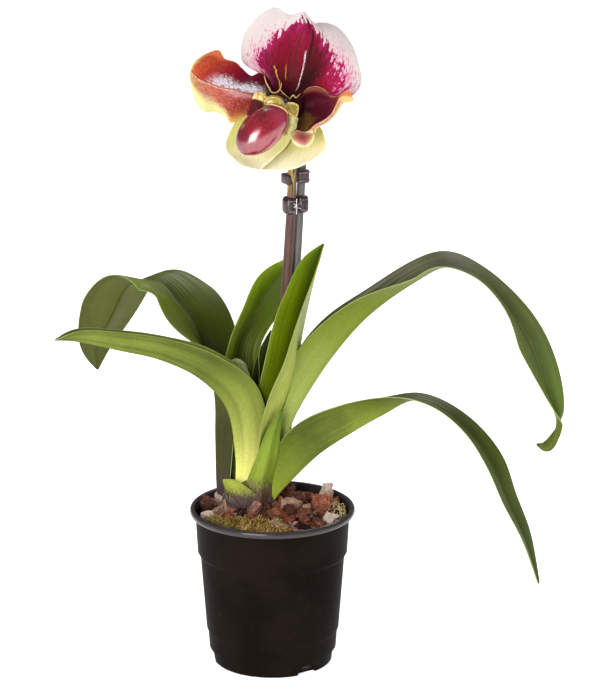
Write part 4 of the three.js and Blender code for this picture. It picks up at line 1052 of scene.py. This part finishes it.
# the ovary is a ribbed stalk that bends forwards and ends in the column, with its shield and lobes
ovary = {
    "path": [(14.4, 28, 363), (13.2, 26, 378), (11.6, 21, 396), (10, 13, 409), (9, 7, 415), (6, -2, 417)],
    "radii": [3, 3.4, 4.2, 4.4, 3.8, 3.2],
    "lumps": {
        "columnShield": {
            "place": (-7.5, -12.5, 0.3), "size": (7.4, 4.4, 4.8), "crumple": 0.3,
            "colours": ("#8a6a2c", "#b9a446", "#d9c76a"),
        },
        "columnHood": {
            "place": (-5, -4, 1.2), "size": (7.0, 4.6, 3.8), "crumple": 0.5,
            "colours": ("#26060a", "#3c0a12", "#5c0f1c"),
        },
        "columnLobes": {
            "place": (-16.5, -11, 3.2), "size": (4.6, 3.4, 3.8), "crumple": 1.9,
            "colours": ("#9a6a3c", "#d6b668", "#ead592"),
        },
        "columnKnob": {
            "place": (1, -8.5, 1), "size": (2.5, 2.5, 2.3), "crumple": 0.1,
            "colours": ("#12040c", "#1c0614", "#2a0a20"),
        },
    },
    "crumpleScale": 0.55, "crumpleSeed": (3, 1, 7),
    "shieldRim": [
        (-14, -15, -1.5), (-13, -16.5, 2), (-10, -17, 4),
        (-6, -17, 4.3), (-2.5, -16.5, 2.5), (-0.5, -15.5, -1),
    ],
    "shieldRimRadii": [0.3, 0.5, 0.5, 0.3],
}


def paintOvary():
    paint = Paint("ovary")
    place = paint.objectPlace()
    x, y, z = paint.split(place)
    down = paint.grain(place, 1400.0, 2.0)
    streak = paint.threads((x * 400, y * 400, z * 40), 3.0)
    colour = paint.blend(streak.between(0.4, 0.6), "#a59a4a", "#7d5a34")
    return paint.finish(colour, 0.6, paint.bump(down + streak, 0.3 * mm, 0.5), Sheen_Weight=0.3)


def paintLump(name, colours):
    paint = Paint(name)
    speck = paint.grain(paint.objectPlace(), 500.0, 4.0, 0.7)
    colour = speck.ramp(*zip((0.3, 0.5, 0.7), colours))
    return paint.finish(colour, 0.28, paint.bump(speck, 0.3 * mm, 0.6), Coat_Weight=0.4, Coat_Roughness=0.1)


def makeLump(name, lump):
    bm = bmesh.new()
    bmesh.ops.create_uvsphere(bm, u_segments=36, v_segments=24, radius=1)
    for vert in bm.verts:
        spot = Vector([vert.co[k] * lump["size"][k] for k in range(3)])
        wave = noise.noise_vector(spot * ovary["crumpleScale"] + Vector(ovary["crumpleSeed"]))
        vert.co = atFlower(Vector(lump["place"]) + (spot + wave * lump["crumple"])) * mm
    return newPiece(name, bm, [paintLump(name + " skin", lump["colours"])])


stalkStrand = smoothStrand(ovary["path"], ovary["radii"], 40)
settle(makeTube("ovaryStalk", paintOvary(), [stalkStrand], 5), "ovary", "ovary_and_column")
rimPaint = paintMargin("shield rim", "#e6d898", "#b99a50")
rimStrand = smoothStrand(map(atFlower, ovary["shieldRim"]), ovary["shieldRimRadii"], 24)
settle(makeTube("columnShieldRim", rimPaint, [rimStrand]), "ovary", "ovary_and_column")
for name, lump in ovary["lumps"].items():
    settle(makeLump(name, lump), "ovary", "ovary_and_column")
print("pouch and column done")

# the flower stem, its stake and the clips that hold them together
stems = {
    "scape": {
        "path": [(1, 27, 100), (3, 30, 160), (8, 32, 241), (12, 32, 303), (14, 31, 341), (14.4, 28, 363)],
        "radii": [3.8, 3.7, 3.6, 3.5, 3.3, 3.1],
    },
    "stake": {"path": [(3, 37, 14), (12.35, 37, 189.5), (21.7, 37, 365)], "radii": [3, 3, 3]},
    "clipTurn": 32, "ribCorner": 0.35, "wire": [0.36, 0.36],
    # the blocks are a middle and a size each, and so is the rib, which is set at several places
    "clips": {
        "clip_lower": {
            "blocks": [((12.4, 31.1, 333.4), (8.6, 10.4, 13.4)), ((21.0, 36.5, 333.4), (8.6, 10.4, 13.4)),
                       ((16.7, 33.8, 333.4), (6, 8, 9))],
            "corner": 3.2, "rib": (5.2, 10.9, 1.0),
            "ribs": [(12.4, 31.1, 337.2), (12.4, 31.1, 329.6), (21.0, 36.5, 337.2), (21.0, 36.5, 329.6)],
        },
        "clip_upper": {
            "blocks": [((11.4, 30.5, 353), (6.6, 9.8, 7.6)), ((20.8, 36.3, 354), (8.4, 10.4, 10)),
                       ((16.4, 33.6, 353.4), (6, 7.6, 6))],
            "corner": 1.2, "rib": (8.6, 11.0, 1.2), "ribs": [(20.8, 36.3, 357), (20.8, 36.3, 351.2)],
        },
    },
    "spring": [
        [(14.2, 28.0, 331.6), (16.6, 27.0, 333.4), (18.4, 27.6, 334.4), (20.8, 30.2, 335.6)],
        [(14.6, 27.6, 336.4), (16.8, 27.0, 334.4), (18.6, 27.8, 332.6), (20.6, 30.2, 331.0)],
        [(17.4, 27.0, 327.8), (17.7, 26.8, 331.4), (17.5, 26.8, 335.6), (17.8, 27.2, 339.0)],
        [(16.4, 27.2, 332.6), (17.8, 26.7, 332.4), (19.0, 28.0, 332.8)],
    ],
}


def paintScape():
    paint = Paint("flower stem")
    place = paint.objectPlace()
    x, y, z = paint.split(place)
    down = paint.grain(place, 1600.0, 2.0)
    streak = paint.threads((x * 500, y * 500, z * 35), 4.0)
    colour = paint.blend(streak.between(0.3, 0.7), "#3a1d16", "#5f3a2e")
    olive = ((z - 0.335) * 60).between(0.0, 1.0) * streak.between(0.35, 0.6)
    colour = paint.blend(olive, colour, "#9a7f3c")
    colour = paint.blend(down.between(0.55, 0.8) * 0.3, colour, "#b49484")
    return paint.finish(colour, 0.6, paint.bump(down + streak * 0.5, 0.3 * mm, 0.6), Sheen_Weight=0.2)


def paintStake():
    paint = Paint("stake")
    place = paint.objectPlace()
    x, y, z = paint.split(place)
    streak = paint.threads((x * 700, y * 700, z * 18), 3.0)
    colour = paint.blend(streak.between(0.3, 0.7), "#454140", "#6d6864")
    return paint.finish(colour, 0.5, paint.bump(streak, 0.2 * mm, 0.5))


def paintClip(name, dark, light):
    paint = Paint(name)
    place = paint.objectPlace()
    cloud = paint.grain(place, 300.0, 3.0)
    colour = paint.blend(cloud.between(0.35, 0.65), dark, light)
    return paint.finish(colour, 0.25 + 0.15 * cloud, paint.bump(cloud, 0.1 * mm, 0.4), Coat_Weight=0.3)


def paintWire():
    paint = Paint("spring wire")
    scratch = paint.grain(paint.objectPlace(), 900.0, 3.0)
    return paint.finish(paint.blend(scratch, "#b9b4b2", "#e6e2e0"), 0.25 + 0.15 * scratch, Metallic=1.0)


def addBlock(bm, centre, size, corner):
    # a block with rounded edges, turned as the clips are
    verts = bmesh.ops.create_cube(bm, size=1)["verts"]
    bmesh.ops.scale(bm, verts=verts, vec=Vector(size) * mm)
    turn = Matrix.Rotation(math.radians(stems["clipTurn"]), 3, "Z")
    bmesh.ops.rotate(bm, verts=verts, cent=(0, 0, 0), matrix=turn)
    bmesh.ops.translate(bm, verts=verts, vec=Vector(centre) * mm)
    edges = list({edge for vert in verts for edge in vert.link_edges})
    roundEdges(bm, edges, corner, 3)


def makeClip(name, clip, paints):
    bm = bmesh.new()
    for centre, size in clip["blocks"]:
        addBlock(bm, centre, size, clip["corner"])
    darkFaces = len(bm.faces)
    for centre in clip["ribs"]:
        addBlock(bm, centre, clip["rib"], stems["ribCorner"])
    piece = newPiece(name, bm, paints)
    for polygon in piece.data.polygons[darkFaces:]:
        polygon.material_index = 1
    return piece


for name, slotName, paint in (("scape", "flower_stem", paintScape()), ("stake", "stake", paintStake())):
    strand = smoothStrand(stems[name]["path"], stems[name]["radii"], 60)
    settle(makeTube(name + "_rod", paint, [strand], 4), slotName, name)
clipPaints = [paintClip("clip", "#1c1213", "#3a2726"), paintClip("clip rib", "#55423f", "#86736f")]
for name, clip in stems["clips"].items():
    settle(makeClip(name + "_block", clip, clipPaints), "clip", name)
wires = [smoothStrand(path, stems["wire"], 10) for path in stems["spring"]]
settle(makeTube("clip_lower_spring", paintWire(), wires, 1), "clip", "clip_lower")

# the bract wraps the stem under the ovary
bract = {
    "heading": 100, "rows": 28, "across": 13, "thickness": 0.7,
    "stations": [
        (12, 32.4, 359, 10, 30, 0), (12, 32.6, 370, 15, 35, 0), (12, 33, 384, 12, 35, 0),
        (12, 34, 397, 1, 20, 0),
    ],
    "under": ["#8a8a48", "#6f7a38"],
    "upper": ["#7a8a3a", "#6a7a34"],
}
settle(makeLeaf("bractBlade", "bract", bract, 0), "bract", "bract")
print("stem, stake and clips done")

# the plant's foot, where the old sheaths wrap round the stem
crown = {
    "centre": (-17, 20), "sides": 54, "ridge": 0.07, "twist": 0.02,
    # height, half width and half depth of each section
    "sections": [
        (84, 8, 6), (96, 16, 9), (106, 20, 11), (116, 20, 11.5), (125, 17, 9.5), (132, 12, 6), (134, 6, 3),
    ],
    "colours": ("#5a4e30", "#7d7440"), "stain": "#463244", "stainTop": 126, "stainReach": 22,
}


def paintCrown():
    paint = Paint("plant foot")
    place = paint.objectPlace()
    x, y, z = paint.split(place)
    streak = paint.threads((x * 420, y * 420, z * 60), 4.0, 0.65)
    speckle = paint.threads((x * 700, y * 700, z * 260), 3.0, 0.7)
    colour = paint.blend(streak.between(0.35, 0.65), *crown["colours"])
    low = (crown["stainTop"] * mm - z) * (1 / (crown["stainReach"] * mm))
    mottle = (low + (speckle - 0.5) * 1.8).between(0.0, 0.6)
    colour = paint.blend(mottle * 0.9, colour, crown["stain"])
    return paint.finish(colour, 0.5, paint.bump(streak + speckle * 0.4, 0.6 * mm, 0.7))


def makeCrown():
    bm = bmesh.new()
    cx, cy = crown["centre"]
    rings = []
    for height, halfWidth, halfDepth in crown["sections"]:
        ring = bmesh.ops.create_circle(bm, cap_ends=False, radius=mm, segments=crown["sides"])["verts"]
        for vert in ring:
            angle = math.atan2(vert.co.y, vert.co.x)
            swell = 1 + crown["ridge"] * abs(math.sin(2.5 * angle + height * crown["twist"])) ** 3
            x, y = halfWidth * swell * math.cos(angle), halfDepth * swell * math.sin(angle)
            vert.co = Vector((cx + x, cy + y, height)) * mm
        rings.append(ring)
    for pair in zip(rings, rings[1:]):
        edges = [edge for ring in pair for edge in bm.edges if all(vert in ring for vert in edge.verts)]
        bmesh.ops.bridge_loops(bm, edges=edges)
    bmesh.ops.holes_fill(bm, edges=bm.edges, sides=0)
    bmesh.ops.recalc_face_normals(bm, faces=bm.faces)
    piece = newPiece("plantFoot", bm, [paintCrown()])
    addModifier(piece, "SUBSURF", levels=1, render_levels=1)
    return piece


settle(makeCrown(), "plant_foot", "crown")
print("plant's foot done")

# bark on a bed of mix, with moss along the front
mix = {
    "bed": [
        (0, 2.1), (39.5, 2.1), (41.5, 10), (45.1, 25), (50.3, 80.5),
        (52.4, 84.5), (54.2, 103), (48, 105), (30, 106), (0, 107),
    ],
    "reach": 51, "wall": 53.4, "edge": 54, "top": 106, "plant": (-17, 20, 21, 11.5),
    # scattered chunks: how many, least and most of each side, lift, tilt, share of pale ones, roughness
    "chunks": {
        "count": 130, "spans": ((11, 20), (6, 10), (5, 11)), "lift": (-2, 4.5), "sunk": -3, "tilt": 0.7,
        "pale": 0.04, "goldenAngle": 2.39996, "bulge": 0.1, "crumples": ((1.5, 0.24), (5, 0.04)),
    },
    # single chunks: middle, size, tilt, shade, paleness
    "placed": [
        ((35, 3, 113), (13, 8, 25), 0.15, 0.62, 0), ((38, 24, 115), (10, 8, 20), 0.3, 0.4, 1),
        ((-47, 10, 112), (15, 9, 13), 0.4, 0.3, 0), ((-45, -10, 109), (13, 10, 12), 0.5, 0.5, 1),
        ((41, -16, 110), (14, 10, 11), 0.3, 0.6, 1), ((18, -36, 110), (19, 8, 8), 0.15, 0.62, 0.35),
        ((13, 6, 112), (14, 10, 18), 0.3, 0.8, 0), ((22, 14, 113), (12, 9, 16), 0.4, 0.3, 0),
        ((14, -8, 110), (9, 9, 17), 0.35, 0.3, 0), ((4, -8, 110), (9, 8, 15), 0.35, 0.62, 0),
        ((25, -12, 110), (10, 9, 17), 0.3, 0.45, 0), ((-28, -4, 108), (15, 9, 8), 0.3, 0.64, 0),
        ((30, -25, 109), (11, 8, 11), 0.4, 0.35, 0), ((12, -20, 109), (10, 8, 12), 0.4, 0.5, 0),
        ((9, 29, 113), (14, 7, 19), 0.2, 0.35, 0), ((-31, -12, 109), (12, 8, 9), 0.4, 0.62, 0),
    ],
    # moss and straw: middle and radius of each tuft, and how its threads run
    "moss": [
        (-42, -21, 8), (-32, -31, 9), (-19, -37, 10), (-5, -40, 10), (7, -42, 7), (-22, -23, 8), (-9, -26, 9),
        (2, -27, 8),
    ],
    "straw": [(45, 10, 8), (47, -3, 6), (41, 18, 6)],
    "threads": {
        "density": 2.2, "base": 106.5, "dome": 7, "knots": 6, "step": 0.95, "radius": 0.75, "wander": 0.9,
    },
}


def paintBark():
    paint = Paint("bark")
    place = paint.objectPlace()
    shade, pale = paint.mark("shade"), paint.mark("pale")
    x, y, z = paint.split(place)
    grain = paint.grain(place, 420.0, 5.0, 0.7, 0.4)
    layers = paint.threads((x * 260, y * 260, z * 1300), 3.0, 0.6, 0.8)
    flake = paint.cells(place, 380.0)
    tone = shade * 0.9 + (grain - 0.5) * 0.8 + (layers - 0.5) * 0.7 + 0.12
    colour = tone.ramp((0, "#160c0a"), (0.25, "#341c16"), (0.5, "#6a4030"), (0.72, "#94644e"), (1, "#c9aa98"))
    red = tone.ramp((0, "#1e0b08"), (0.3, "#4c2014"), (0.6, "#8a4630"), (0.9, "#c0846a"))
    colour = paint.blend(abs(shade - 0.6).between(0.14, 0.1), colour, red)
    dust = (grain * 0.6 + layers * 0.4).between(0.56, 0.64)
    colour = paint.blend(dust * 0.5, colour, "#bfa296")
    light = (grain + shade * 0.2).ramp((0.25, "#7f5f50"), (0.45, "#c29c8e"), (0.7, "#e4d3c8"))
    colour = paint.blend(pale, colour, light)
    normal = paint.bump(grain + flake * 0.5 + layers * 0.6, 1.2 * mm, 0.9)
    return paint.finish(colour, 0.85, normal, Specular_IOR_Level=0.2)


def makeChunkTemplate():
    bm = bmesh.new()
    bmesh.ops.create_cube(bm, size=1)
    bmesh.ops.subdivide_edges(bm, edges=bm.edges, cuts=3, use_grid_fill=True)
    mesh = bpy.data.meshes.new("chunkTemplate")
    bm.to_mesh(mesh)
    bm.free()
    return mesh


def addChunk(bm, template, rng, centre, size, tilt, shade, pale):
    start = len(bm.verts)
    bm.from_mesh(template)
    bm.verts.ensure_lookup_table()
    seed = Vector([rng.uniform(0, 90) for _ in range(3)])
    turn = Euler((rng.uniform(-tilt, tilt), rng.uniform(-tilt, tilt), rng.uniform(0, math.pi))).to_matrix()
    form = mix["chunks"]
    for vert in bm.verts[start:]:
        spot = vert.co * (1 - form["bulge"] * vert.co.length_squared)
        waves = [noise.noise_vector(spot * scale + seed) * depth for scale, depth in form["crumples"]]
        spot = sum(waves, spot)
        spot = turn @ Vector((spot.x * size[0], spot.y * size[1], spot.z * size[2])) + Vector(centre)
        spot.xy *= min(1, mix["wall"] / spot.xy.length)
        vert.co = spot * mm
        vert[bm.verts.layers.float["shade"]] = shade
        vert[bm.verts.layers.float["pale"]] = pale


def makeBark():
    rng = random.Random(21)
    template = makeChunkTemplate()
    bm = bmesh.new()
    bm.verts.layers.float.new("shade")
    bm.verts.layers.float.new("pale")
    chunks = mix["chunks"]
    for k in range(chunks["count"]):
        radius = mix["reach"] * math.sqrt((k + 0.5) / chunks["count"])
        angle = k * chunks["goldenAngle"]
        x, y = radius * math.cos(angle), radius * math.sin(angle)
        size = [rng.uniform(*span) for span in chunks["spans"]]
        lift = rng.uniform(*chunks["lift"])
        shade = rng.random()
        pale = 1.0 if rng.random() < chunks["pale"] else 0.0
        px, py, pw, pd = mix["plant"]
        onPlant = math.hypot((x - px) / pw, (y - py) / pd) < 1
        underMoss = any(math.hypot(x - mx, y - my) < mr * 0.8 for mx, my, mr in mix["moss"])
        room = mix["edge"] - size[0] / 2
        if math.hypot(x, y) > room:
            x, y = x * room / math.hypot(x, y), y * room / math.hypot(x, y)
        if not onPlant:
            centre = (x, y, mix["top"] + (chunks["sunk"] if underMoss else lift))
            addChunk(bm, template, rng, centre, size, chunks["tilt"], shade, pale)
    for chunk in mix["placed"]:
        addChunk(bm, template, rng, *chunk)
    return newPiece("barkPieces", bm, [paintBark()], smooth=False)


def paintBed():
    paint = Paint("mix bed")
    grain = paint.grain(paint.objectPlace(), 300.0, 5.0, 0.7)
    colour = grain.ramp((0.3, "#150d0a"), (0.7, "#3a231a"))
    return paint.finish(colour, 0.95, paint.bump(grain, 1.5 * mm, 1.0))


settle(makeBark(), "bark", "potting_mix")
bed = newPiece("mixBed", turnProfile(mix["bed"], 72), [paintBed()])
settle(bed, "bark", "potting_mix")


def paintMoss():
    paint = Paint("moss")
    place = paint.objectPlace()
    cloud = paint.grain(place, 120.0, 3.0)
    fine = paint.grain(place, 900.0, 2.0)
    x = paint.split(place)[0]
    tone = cloud * 0.35 + fine * 0.65
    colour = tone.ramp((0.36, "#3f2c12"), (0.45, "#8f6c2c"), (0.54, "#c29c50"), (0.66, "#eedca4"))
    green = (0 - x * 60 - 1.2 + (cloud - 0.5) * 1.4).between(0.0, 0.5)
    colour = paint.blend(green * 0.45, colour, "#7a7430")
    colour = paint.blend((x * 60).between(1.9, 2.2) * 0.55, colour, "#e8dcae")
    return paint.finish(colour, 0.85, paint.bump(fine, 0.3 * mm, 0.6))


def makeMoss():
    rng = random.Random(4)
    threads = mix["threads"]
    strands = []
    for x, y, radius in mix["moss"] + mix["straw"]:
        for _ in range(int(radius * radius * threads["density"])):
            angle, reach = rng.uniform(0, 2 * math.pi), radius * math.sqrt(rng.random())
            spot = Vector((x + reach * math.cos(angle), y + reach * math.sin(angle), 0))
            dome = threads["dome"] * math.sqrt(max(0, 1 - (reach / radius) ** 2))
            spot.z = threads["base"] + dome + rng.uniform(-1, 1)
            heading = Vector((rng.uniform(-1, 1), rng.uniform(-1, 1), rng.uniform(-0.2, 0.9))).normalized()
            strand = []
            for k in range(threads["knots"]):
                spot.xy *= min(1, mix["wall"] / spot.xy.length)
                strand.append((spot.copy(), threads["radius"] * (1 - k / 8)))
                turn = Vector([rng.uniform(-threads["wander"], threads["wander"]) for _ in range(3)])
                heading = (heading + turn).normalized()
                spot += heading * threads["step"]
            strands.append(strand)
    return makeTube("mossStrands", paintMoss(), strands, 0)


settle(makeMoss(), "moss", "moss")
print("mix and moss done")
